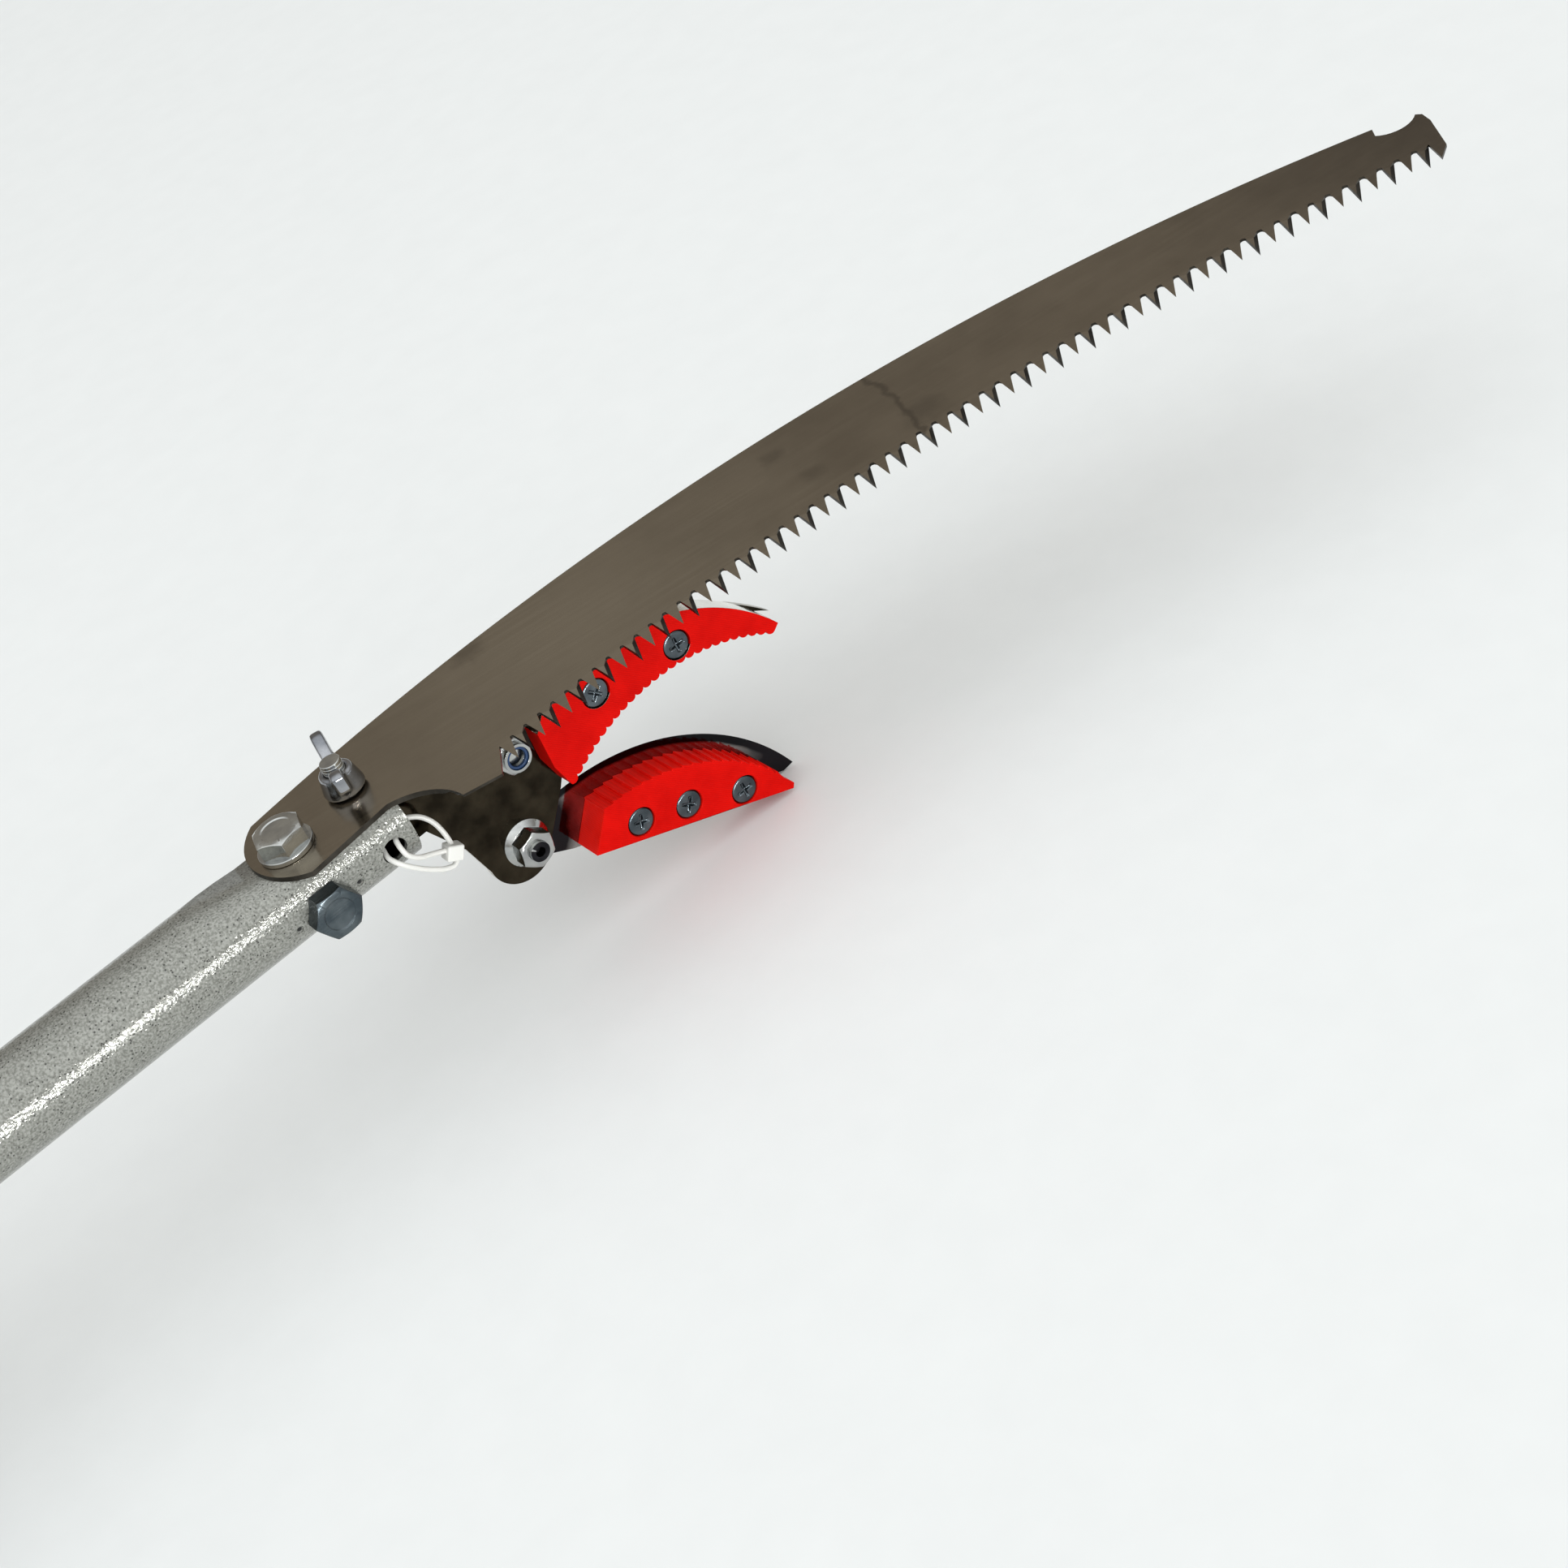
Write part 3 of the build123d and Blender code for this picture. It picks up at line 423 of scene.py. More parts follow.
grip_rubber = moulding("black_grip_rubber", (0.014, 0.014, 0.015), (0.030, 0.029, 0.028),
                       rough=(0.62, 0.82), grain=0.5)
finished_copy("hand_grip", "pole_lower", grip_rubber, 0.0005)
grip_low, grip_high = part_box("hand_grip")
groove_pitch = 0.012
grooves = 8
pip_size = 0.0016
pip_flatness = 0.45
pips_around = 28
pip_shape = bmesh.new()
bmesh.ops.create_uvsphere(pip_shape, u_segments=10, v_segments=6, radius=pip_size)
bmesh.ops.scale(pip_shape, vec=(1, 1, pip_flatness), verts=pip_shape.verts)
first_groove = (grip_low.x + grip_high.x) / 2 - groove_pitch * (grooves - 1) / 2
pips = grow("grip_pips", pip_rows_tree(), Shape=loose_shape("grip_pip", pip_shape), Rows=2 * grooves,
            Around=pips_around, First=first_groove - groove_pitch / 4, Pitch=groove_pitch / 2,
            Radius=(grip_high.z - grip_low.z) / 2, Finish=grip_rubber)
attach(pips, "pole_lower")

# Clamp screw and knob: the zinc plated M6 screw draws the collar's ears together, and the
# five-lobed black knob turns on it.


def plated_group():
    """Cloudy patches and fine rubbing marks of a plated or drawn surface."""
    values = {"Cloud Scale": 160.0, "Rub Scale": 1.0}
    tree, given, result = effect_group("plating", values, ("Clouds", "Rubbing"))
    drawn_out = (30.0, 1800.0, 1800.0)
    drawn = step(tree, "ShaderNodeMapping", Vector=given["Vector"], Scale=drawn_out)["Vector"]
    fill(tree, result, Clouds=noise(tree, given["Vector"], given["Cloud Scale"], 6.0),
         Rubbing=noise(tree, drawn, given["Rub Scale"], 4.0))
    return tree


plated = plated_group()


def rubbed_metal(name, dark, light, rough, rubbing, clouds, **placing):
    """Cloudy, rubbed metal, with its tree, colour socket and colour for marks to come."""
    finish, tree, shader, effect = finish_with(name, plated, **placing)
    colour = tint(tree, remap(tree, effect["Clouds"], *clouds), dark, light)
    gloss = remap(tree, effect["Rubbing"], *noise_span, *rough)
    fill(tree, shader, Base_Color=colour, Roughness=gloss, Metallic=1.0)
    raise_surface(tree, shader, effect["Rubbing"], rubbing, depth=0.0002)
    return finish, tree, shader["Base Color"], colour


def plated_metal(name, dark, light, rough):
    return rubbed_metal(name, dark, light, rough, rubbing=0.08, clouds=(0.35, 0.65))[0]


bright_zinc = plated_metal("bright_zinc_plate", (0.36, 0.37, 0.37), (0.52, 0.53, 0.51), rough=(0.08, 0.2))
grey_zinc = plated_metal("grey_zinc_plate", (0.055, 0.070, 0.080), (0.11, 0.13, 0.14), rough=(0.24, 0.4))
finished_copy("clamp_screw", "pole_lower", grey_zinc, 0.0003)
finished_copy("clamp_knob", "knob", black_plastic, 0.0006)

# Trigger housing: two black moulded halves clasp the tube, held by three dark pan screws,
# and carry the zinc plated pin of the trigger.
dark_steel = plated_metal("dark_screw_steel", (0.055, 0.068, 0.077), (0.12, 0.14, 0.155),
                          rough=(0.12, 0.26))
for half in ("housing_left", "housing_right"):
    finished_copy(half, "pole_lower", black_plastic, 0.0006)


def solid_boxes(node):
    """The lowest and highest corner of each separate solid in a node, from the butt end on."""
    shape = bmesh.new()
    shape.from_mesh(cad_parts[node].data)
    bmesh.ops.remove_doubles(shape, verts=shape.verts, dist=weld_distance)
    seen = set()
    boxes = []
    for first in shape.verts:
        if first in seen:
            continue
        solid = [first]
        seen.add(first)
        for vert in solid:
            joined = [edge.other_vert(vert) for edge in vert.link_edges]
            fresh = [other for other in joined if other not in seen]
            seen.update(fresh)
            solid.extend(dict.fromkeys(fresh))
        columns = list(zip(*(vert.co for vert in solid)))
        boxes.append([Vector(map(pick, columns)) for pick in (min, max)])
    shape.free()
    return sorted(boxes, key=lambda box: box[0].x)


def even_turns(parts):
    return [2 * math.pi * part / parts for part in range(parts)]


def pan_screw(across, length):
    """A pan head screw with a cross recess. Its top touches the origin and faces -Y."""
    head_r = across / 2
    head_height = 0.0016
    rim_r = 0.0009
    crown = 0.00025
    recess_half = 0.00062
    recess_reach = 0.00255
    recess_depth = 0.0010
    recess_slope = 0.0004
    recess_taper = 0.5
    shank_r = 0.002
    rings = 22
    spokes = 80
    shape = bmesh.new()

    def sink(radius, turn):
        over_rim = min(rim_r, max(0.0, radius - (head_r - rim_r)))
        drop = crown * (radius / head_r) ** 2 + rim_r - math.sqrt(rim_r ** 2 - over_rim ** 2)
        sides = sorted((abs(radius * math.cos(turn)), abs(radius * math.sin(turn))))
        inside = min((recess_half - sides[0]) / recess_slope, (recess_reach - sides[1]) / recess_slope, 1.0)
        taper = 1 - recess_taper * radius / recess_reach
        return min(drop, head_height) + recess_depth * taper * max(0.0, inside)

    def ring(radius, depth=None):
        return [shape.verts.new((radius * math.cos(turn), sink(radius, turn) if depth is None else depth,
                                 radius * math.sin(turn))) for turn in even_turns(spokes)]

    loops = [ring(head_r * share / rings) for share in range(1, rings + 1)]
    loops += [ring(head_r, head_height), ring(shank_r, head_height), ring(shank_r, length)]
    for inner, outer in zip(loops, loops[1:]):
        for spoke in range(spokes):
            following = (spoke + 1) % spokes
            shape.faces.new((inner[spoke], outer[spoke], outer[following], inner[following]))
    middle = shape.verts.new((0, sink(0, 0), 0))
    for spoke in range(spokes):
        shape.faces.new((middle, loops[0][spoke], loops[0][(spoke + 1) % spokes]))
    shape.faces.new(loops[-1])
    bmesh.ops.recalc_face_normals(shape, faces=shape.faces)
    return loose_shape("pan_screw", shape)


def screws_tree():
    """One screw at each point of the mesh, each turned its own way about Y."""
    inputs = {"Screw": "Object", "Seed": "Int", "Finish": "Material"}
    tree, given, end = grower_tree("driven screws", inputs)
    chance = tree.nodes.new("FunctionNodeRandomValue")
    chance.data_type = "FLOAT"
    most = chance.inputs[3]
    drawn = chance.outputs[1]
    most.default_value = math.pi / 2
    feed(tree, chance.inputs["Seed"], given["Seed"])
    heading = step(tree, "ShaderNodeCombineXYZ", Y=drawn)["Vector"]
    finish_tree(tree, copies_at(tree, given["Geometry"], given["Screw"], heading), given["Finish"], end)
    return tree


driven_screws = screws_tree()


def drive_screws(node, body, across, seed):
    """Screws with cross recesses in place of the plain solids."""
    sharp = math.radians(40)
    boxes = solid_boxes(node)
    spots = [((low.x + high.x) / 2, low.y, (low.z + high.z) / 2) for low, high in boxes]
    points = bpy.data.meshes.new(node + "_places")
    points.from_pydata(spots, [], [])
    screw = pan_screw(across, boxes[0][1].y - boxes[0][0].y)
    screws = grow(node + "_driven", driven_screws, points, Screw=screw, Seed=seed, Finish=dark_steel)
    screws.data.set_sharp_from_angle(angle=sharp)
    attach(screws, body)
    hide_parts(node)


housing_head = 0.0070
drive_screws("housing_screws", "pole_lower", housing_head, seed=3)
finished_copy("trigger_pin", "pole_lower", grey_zinc, 0.0003)

# Trigger: a red lever, printed in layers like the grips of the jaws, with a row of finger
# ribs under it. Its arm reaches up through the tube and pulls the lower rod.


def printed_group():
    """Layers that stack up along Y, the crossing strokes of each layer, and a slow drift of tone."""
    values = {"Layers": 12000.0, "Strokes": 7400.0}
    tree, given, result = effect_group("printed_layers", values, ("Layers", "Strokes", "Drift"))
    axes = step(tree, "ShaderNodeSeparateXYZ", Vector=given["Vector"])
    drift = noise(tree, given["Vector"], 140.0, 3.0)
    wander = combine(tree, "MULTIPLY", drift, 3.0)
    slantwise = combine(tree, "ADD", axes["X"], axes["Z"])
    for label, distance in (("Layers", axes["Y"]), ("Strokes", slantwise)):
        phase = combine(tree, "ADD", combine(tree, "MULTIPLY", distance, given[label]), wander)
        feed(tree, result[label], remap(tree, combine(tree, "SINE", phase), -1.0, 1.0))
    feed(tree, result["Drift"], drift)
    return tree


printed = printed_group()


def red_print(name, dark, light):
    finish, tree, shader, effect = finish_with(name, printed)
    strokes = combine(tree, "MULTIPLY", effect["Strokes"], 0.25)
    tone = remap(tree, combine(tree, "ADD", effect["Drift"], strokes), 0.35, 0.9)
    gloss = remap(tree, effect["Drift"], *noise_span, 0.34, 0.48)
    fill(tree, shader, Base_Color=tint(tree, tone, dark, light), Roughness=gloss, Specular_IOR_Level=0.045)
    faint_strokes = combine(tree, "MULTIPLY", effect["Strokes"], 0.4)
    lines = combine(tree, "ADD", effect["Layers"], faint_strokes)
    raise_surface(tree, shader, lines, strength=0.6, depth=0.00006)
    return finish


red_plastic = red_print("red_printed_plastic", (0.40, 0.0012, 0.0003), (0.53, 0.0024, 0.0006))
finished_copy("trigger", "lever", red_plastic, 0.0004)


def row_tree():
    """Copies of one shape at even steps along a straight line."""
    inputs = {"Shape": "Object", "Count": "Int", "First": "Vector", "Step": "Vector", "Turn": "Vector",
              "Finish": "Material"}
    tree, given, end = grower_tree("row of copies", inputs)
    spots = geometry(tree, "MeshLine", Count=given["Count"], Start_Location=given["First"],
                     Offset=given["Step"])
    finish_tree(tree, copies_at(tree, spots, given["Shape"], given["Turn"]), given["Finish"], end)
    return tree


trigger_pivot = Vector((0.19, 0, -0.044))
trigger_droop = math.radians(14)
lever_along = Vector((math.cos(trigger_droop), 0, -math.sin(trigger_droop)))
lever_down = Vector((-math.sin(trigger_droop), 0, -math.cos(trigger_droop)))
lever_half = 0.007
rib_pitch = 0.0075
rib_count = 8
rib_r = 0.0016
rib_length = 0.0105
rib_ease = 0.0009
rib_reach = 0.034
rib_sink = 0.0008
rib_shape = bmesh.new()
bmesh.ops.create_cone(rib_shape, cap_ends=True, segments=16, radius1=rib_r, radius2=rib_r, depth=rib_length)
across_lever = Matrix.Rotation(math.pi / 2, 3, "X")
bmesh.ops.rotate(rib_shape, cent=(0, 0, 0), matrix=across_lever, verts=rib_shape.verts)
rib_ends = [e for e in rib_shape.edges if abs(e.verts[0].co.y - e.verts[1].co.y) < weld_distance]
bmesh.ops.bevel(rib_shape, geom=rib_ends, offset=rib_ease, segments=3, affect="EDGES", profile=0.5)
first_rib = trigger_pivot + lever_along * rib_reach + lever_down * (lever_half - rib_sink)
ribs = grow("trigger_ribs", row_tree(), Shape=loose_shape("trigger_rib", rib_shape), Count=rib_count,
            First=first_rib, Step=lever_along * rib_pitch, Turn=(0, trigger_droop, 0), Finish=red_plastic)
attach(ribs, "lever")

# Return spring: a coil of drawn steel wire in five turns, held between the housing and the
# trigger, which presses it shorter.


def coil_tree():
    """A round wire wound into a coil that starts at a place and climbs along its own axis."""
    inputs = {"Turns": "Float", "Radius": "Float", "Height": "Float", "Wire": "Float", "Place": "Vector",
              "Turn": "Vector", "Finish": "Material"}
    tree, given, end = grower_tree("wound wire", inputs)
    coil = geometry(tree, "CurveSpiral", Resolution=28, Rotations=given["Turns"], Height=given["Height"],
                    Start_Radius=given["Radius"], End_Radius=given["Radius"])
    section = geometry(tree, "CurvePrimitiveCircle", Resolution=8, Radius=given["Wire"])
    wire = geometry(tree, "CurveToMesh", Curve=coil, Profile_Curve=section, Fill_Caps=True)
    stood = geometry(tree, "Transform", Geometry=wire, Translation=given["Place"], Rotation=given["Turn"])
    smooth = geometry(tree, "SetShadeSmooth", Geometry=stood)
    finish_tree(tree, smooth, given["Finish"], end)
    return tree


wound = coil_tree()
rod_steel = plated_metal("drawn_rod_steel", (0.30, 0.30, 0.31), (0.42, 0.42, 0.43), rough=(0.22, 0.36))
spring_low, spring_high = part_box("return_spring")
spring_turns = 5.0
spring_wire = 0.0006
spring_radius = (spring_high.x - spring_low.x) / 2 - spring_wire
spring_foot = Vector(((spring_low.x + spring_high.x) / 2, 0, spring_low.z + spring_wire))
spring = grow("return_spring_coil", wound, Turns=spring_turns, Radius=spring_radius,
              Height=spring_high.z - spring_low.z - 2 * spring_wire, Wire=spring_wire,
              Place=spring_foot, Turn=(0, 0, 0), Finish=rod_steel)
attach(spring, "pole_lower")
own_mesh(spring)
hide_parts("return_spring")

# Pull rods: the upper one is a drawn steel bar with a flat eye, and slides in the lower one,
# which is a steel pipe that the trigger pulls by a zinc plated cross pin.
finished_copy("lower_rod", "rod_lower", rod_steel)
finished_copy("cross_pin", "rod_lower", grey_zinc, 0.0003)
finished_copy("pull_rod", "rod_upper", rod_steel, 0.0003)

# Upper pole: the narrower tube in the same paint. Its end is pressed flat on top as the
# saw's seat and drilled at the side for the bolt and the tie.


def box_middle(node):
    low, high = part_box(node)
    return (low + high) / 2


side_bolt = box_middle("side_bolt")
# The two dimples beside the side bolt carry near-black spots in the paint: painted shade.
dent_offset = 0.010
inner_wall = 0.0013
upper_skin = half_width("inner_tube")
dent_y = -math.sqrt(upper_skin ** 2 - side_bolt.z ** 2)
dents = [Vector((side_bolt.x + side * dent_offset, dent_y, side_bolt.z)) for side in (-1, 1)]
upper_paint = hammertone_paint("upper_pole_hammertone", (0.285, 0.29, 0.265), (0.15, 0.152, 0.135), dents)
upper_pole = finished_copy("inner_tube", "pole_upper", upper_paint)
shade_as_tube(upper_pole, upper_skin, upper_skin - inner_wall)

# Fixed jaw plate and lower jaw blade: steel plate, cut to shape. The plate is blackened, with
# bright cut edges. The blade is polished, with tarnish at its tip, and dark along its edge.
plate_rubbing = {"rubbing": 0.04, "clouds": (0.35, 0.7), "turn": (0, math.radians(30), 0)}
pivot = box_middle("pivot_nut")


def polished_blade():
    """Dark along the edge, outside a circle a little within it, at the tip and round the pivot."""
    finish, tree, base, colour = rubbed_metal(
        "polished_blade", (0.25, 0.235, 0.225), (0.36, 0.34, 0.325), rough=(0.05, 0.1), **plate_rubbing)
    edge_colour = (0.012, 0.012, 0.013)
    edge_r = 0.0694
    edge_middle = pivot + Vector((0.0164, 0, -0.0661))
    colour = stained(tree, edge_colour, colour, edge_middle, Radius=edge_r, Rim=0.0008, Ragged=0.0008)
    low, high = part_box("lower_blade")
    tip_colour = (0.020, 0.018, 0.021)
    tip = (high.x, low.y, low.z)
    colour = stained(tree, colour, tip_colour, tip, Radius=0.020, Rim=0.016, Ragged=0.010)
    worn_colour = (0.020, 0.017, 0.019)
    worn_middle = (pivot.x, low.y, pivot.z)
    feed(tree, base, stained(tree, colour, worn_colour, worn_middle, Radius=0.0165, Rim=0.004))
    return finish


blackened = rubbed_metal(
    "blackened_plate", (0.015, 0.012, 0.008), (0.040, 0.032, 0.021), rough=(0.08, 0.17), **plate_rubbing)[0]
cut_steel = plated_metal("cut_steel_edge", (0.42, 0.41, 0.38), (0.62, 0.60, 0.56), rough=(0.28, 0.42))
finished_copy("fixed_jaw", "pole_upper", blackened, 0.0002, cut_edges=cut_steel)
finished_copy("lower_blade", "jaw_lower", polished_blade(), 0.00015)

# Red grips: printed pads with a scalloped upper and a stepped lower gripping edge, held by dark
# cross-recess screws. Bright strip steel faces the upper one's back edge. The lower one's sides,
# but not the faces that look down, are painted a lighter red: painted light where they stand in shade.
back_slant = 0.55
upper_grip = finished_copy("upper_grip", "pole_upper", red_plastic, 0.0002)
strip_steel = plated_metal("bright_jaw_strip", (0.70, 0.69, 0.64), (0.84, 0.83, 0.77), rough=(0.1, 0.2))
upper_grip.data.materials.append(strip_steel)
for face in upper_grip.data.polygons:
    face.material_index = int(face.normal.z > back_slant)
grip_head = 0.0088
drive_screws("upper_grip_screws", "pole_upper", grip_head, seed=5)
under_slant = -0.3
# A lighter copy of the red: painted light for the lower grip's shaded sides.
red_painted_light_sides = red_print("red_sides_painted_light", (0.72, 0.006, 0.003), (0.92, 0.012, 0.006))
lower_grip = finished_copy("lower_grip", "jaw_lower", red_plastic, 0.0002,
                           cut_edges=red_painted_light_sides)
for face in lower_grip.data.polygons:
    if face.normal.z < under_slant:
        face.material_index = 0
drive_screws("lower_grip_screws", "jaw_lower", grip_head, seed=8)

# Pivot bolt of the jaws: zinc plated, with a washer behind and a flanged nut in front. Its
# threaded end is drilled hollow and stands out of the nut.
bore_r = 0.0016
bore_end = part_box("pivot_nut")[1].y
# The inside of the bore is painted near black: painted shade in the hole.
bore_painted_shade = plated_metal("bore_painted_shade", (0.012, 0.012, 0.014), (0.03, 0.03, 0.032), rough=(0.4, 0.6))
pivot_bolt = finished_copy("pivot_bolt", "pole_upper", bright_zinc, 0.0002)
pivot_bolt.data.materials.append(bore_painted_shade)
for face in pivot_bolt.data.polygons:
    off_axis = face.center - pivot
    face.material_index = int(math.hypot(off_axis.x, off_axis.z) < bore_r and face.center.y < bore_end)
for node in ("pivot_washer", "pivot_nut"):
    finished_copy(node, "pole_upper", bright_zinc, 0.0003)

# Drive bolt: it pins the rod's eye to the jaw's tail through the plate's slot. A lock nut
# with a blue nylon ring and a thin washer run on the plate's face.
for node, rounding in (("drive_washer", 0.0002), ("drive_bolt", 0.0003), ("drive_nut", 0.0003)):
    finished_copy(node, "rod_upper", bright_zinc, rounding)
blue_nylon = moulding("blue_nylon", (0.0005, 0.016, 0.062), (0.001, 0.03, 0.10), rough=(0.2, 0.35))
finished_copy("drive_nut_insert", "rod_upper", blue_nylon, 0.0002)

# Saw blade: punched from 1.6 mm spring steel, brushed along its length and browned by use.
# Each tooth is ground to a bevel on one face and set towards the other, by turns. Its outline
# is in millimetres from the saw bolt.
mm = 0.001
saw_bolt = box_middle("saw_washer")
stud = box_middle("saw_stud")
bolt_hole_r = 4.05
stud_hole_r = 3.05
blade_low, blade_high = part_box("saw_blade")
blade_thick = blade_high.z - blade_low.z
tooth_count = 60
tooth_start = -3.15
tooth_pitch = 4.677
pitch_growth = 0.01368
growth_slack = -0.000093
tooth_depth = 9.6
tooth_lean = -0.3
tooth_root = 3.8
gullet_depth = 0.35
tooth_line_r = 660.0
root_r = tooth_line_r + tooth_depth
tooth_line_middle = Vector((100.0, -32.6 - tooth_line_r))
first_gullet_x = 55.1
first_turn = math.asin((first_gullet_x - tooth_line_middle.x) / root_r)
nose_start = 310.5
down_tip = -0.8
up_tip = -0.2
edge_thick = 0.8 * mm


def tooth_along(tooth):
    """Where a tooth starts: the pitch grows a little towards the nose."""
    return tooth_start + tooth * (tooth_pitch + tooth * (pitch_growth + tooth * growth_slack))


def on_tooth_line(along, outward):
    """A point at a distance along the roots of the teeth, and outward from them."""
    turn = first_turn + along / tooth_line_r
    return tooth_line_middle + (root_r - outward) * Vector((math.sin(turn), math.cos(turn)))


def arc_through(start, middle, end, pieces):
    """Points on the arc through three points, without its last one."""
    start, middle, end = Vector(start), Vector(middle), Vector(end)
    a, b = middle - start, end - start
    twice = 2 * a.cross(b)
    centre = start + Vector((b.y * a.dot(a) - a.y * b.dot(b), a.x * b.dot(b) - b.x * a.dot(a))) / twice
    first, last = start - centre, end - centre
    sweep = math.atan2(first.cross(last), first.dot(last))
    if sweep * twice < 0:
        sweep += math.copysign(2 * math.pi, twice)
    rotated = (Matrix.Rotation(sweep * part / pieces, 2) @ first for part in range(pieces))
    return [centre + spoke for spoke in rotated]


def blade_outline():
    """The saw's outline from the saw bolt, with a straight line under each tooth."""
    last_tip = on_tooth_line(nose_start + tooth_lean, tooth_depth)
    nose = [last_tip + Vector(offset) for offset in (
        (5.9, 3.6), (14.6, 17.4), (16.4, 22.2), (15.6, 24.2), (8.4, 23.0), (3.1, 28.2), (5.5, 31.7))]
    back_r = 551.0
    tang_top = Vector((-1.5, 19.4))
    tang_end = Vector((-10.4, 2.0))
    tang_foot = Vector((-1.0, -16.2))
    heel = [Vector(spot) for spot in ((25.6, -12.9), (35.4, -19.6), (39.8, -31.6), (50.6, -35.2))]
    bends = 5
    chord = tang_top - nose[-1]
    bulge = back_r - math.sqrt(back_r ** 2 - chord.length_squared / 4)
    back_middle = (tang_top + nose[-1]) / 2 + Vector((chord.y, -chord.x)).normalized() * bulge
    points = arc_through(nose[-1], back_middle, tang_top, 48)
    points += arc_through(tang_top, tang_end, tang_foot, 20)
    points += [tang_foot, *arc_through(*heel[:3], 12), *heel[2:]]
    starts = [tooth_along(tooth) for tooth in range(1, tooth_count + 1)]
    for start, end in zip(starts, starts[1:] + [nose_start]):
        points.append(on_tooth_line(start, 0))
        for bend in range(bends):
            share = bend / bends
            along = start + tooth_root + (end - start - tooth_root) * share
            points.append(on_tooth_line(along, -gullet_depth * math.sin(math.pi * share)))
    points += [on_tooth_line(nose_start, 0), last_tip, *nose[:4]]
    points += arc_through(nose[3], nose[4], nose[5], 10)[1:]
    return points + [nose[5]]


def blade_body():
    """The blade without its teeth: open under each tooth, where that joins on."""
    hole_sides = 32
    root_slack = 0.1
    upright = 0.5
    shape = bmesh.new()
    loops = [[saw_bolt + Vector((*point, 0)) * mm for point in blade_outline()]]
    for hole, radius in ((saw_bolt, bolt_hole_r), (stud, stud_hole_r)):
        loops.append([hole + Vector((math.cos(turn), math.sin(turn), 0)) * radius * mm
                      for turn in even_turns(hole_sides)])
    for loop in loops:
        ring = [shape.verts.new((point.x, point.y, blade_low.z)) for point in loop]
        for first, second in zip(ring, ring[1:] + ring[:1]):
            shape.edges.new((first, second))
    bmesh.ops.triangle_fill(shape, use_beauty=True, edges=shape.edges[:])
    bmesh.ops.recalc_face_normals(shape, faces=shape.faces)
    raised = bmesh.ops.extrude_face_region(shape, geom=shape.faces[:], use_keep_orig=True)["geom"]
    top = [part for part in raised if isinstance(part, bmesh.types.BMVert)]
    bmesh.ops.translate(shape, vec=(0, 0, blade_thick), verts=top)
    for vert in set(shape.verts) - set(top):
        reach = ((vert.co - saw_bolt).to_2d() / mm - tooth_line_middle).length
        if reach < root_r + 2 * gullet_depth:
            vert.co.z = blade_high.z - edge_thick
    root_length = tooth_root * mm * root_r / tooth_line_r
    under_teeth = []
    for face in shape.faces:
        centre = (face.calc_center_median() - saw_bolt).to_2d() / mm
        wide = max((a.co - b.co).to_2d().length for a in face.verts for b in face.verts)
        on_root = abs((centre - tooth_line_middle).length - root_r) < root_slack
        if abs(face.normal.z) < upright and on_root and abs(wide - root_length) < root_slack * mm:
            under_teeth.append(face)
    bmesh.ops.delete(shape, geom=under_teeth, context="FACES_ONLY")
    bmesh.ops.recalc_face_normals(shape, faces=shape.faces)
    return as_mesh("saw_blade_body", shape)


def tooth_shape(name, upward):
    """One tooth at the start of the line: flat on one face, ground along its flanks on the other.

    A tooth that is set downward is ground mainly on its flank to the nose.
    """
    under = blade_thick - edge_thick
    if upward:
        flat_z, ground_z, bend = blade_thick, under, up_tip
        steep, peak, shoulder = (0.4, 0.9), (0.1, 7.6), (2.7, 2)
    else:
        flat_z, ground_z, bend = under, blade_thick, down_tip
        steep, peak, shoulder = (0.06, 0.9), (0, 6.4), (1.85, 2)
    flat = [(0, 0), (tooth_lean, tooth_depth), (tooth_root, 0)]
    ground = [(0, 0), steep, peak, shoulder, (tooth_root, 0)]
    shape = bmesh.new()

    def corner(along, outward, level):
        place = (on_tooth_line(along, outward) - tooth_line_middle) * mm
        return shape.verts.new((place.x, place.y, level + bend * mm * (outward / tooth_depth) ** 2))

    heel, tip, toe = (corner(along, outward, flat_z) for along, outward in flat)
    g = [corner(along, outward, ground_z) for along, outward in ground]
    for face in (
        (heel, tip, toe), (g[0], g[1], g[3], g[4]), (g[1], g[2], g[3]),
        (heel, g[0], g[1]), (heel, g[1], tip), (tip, g[1], g[2]),
        (toe, g[3], g[4]), (toe, tip, g[3]), (tip, g[2], g[3]),
    ):
        shape.faces.new(face)
    return loose_shape(name, shape, smooth=False)


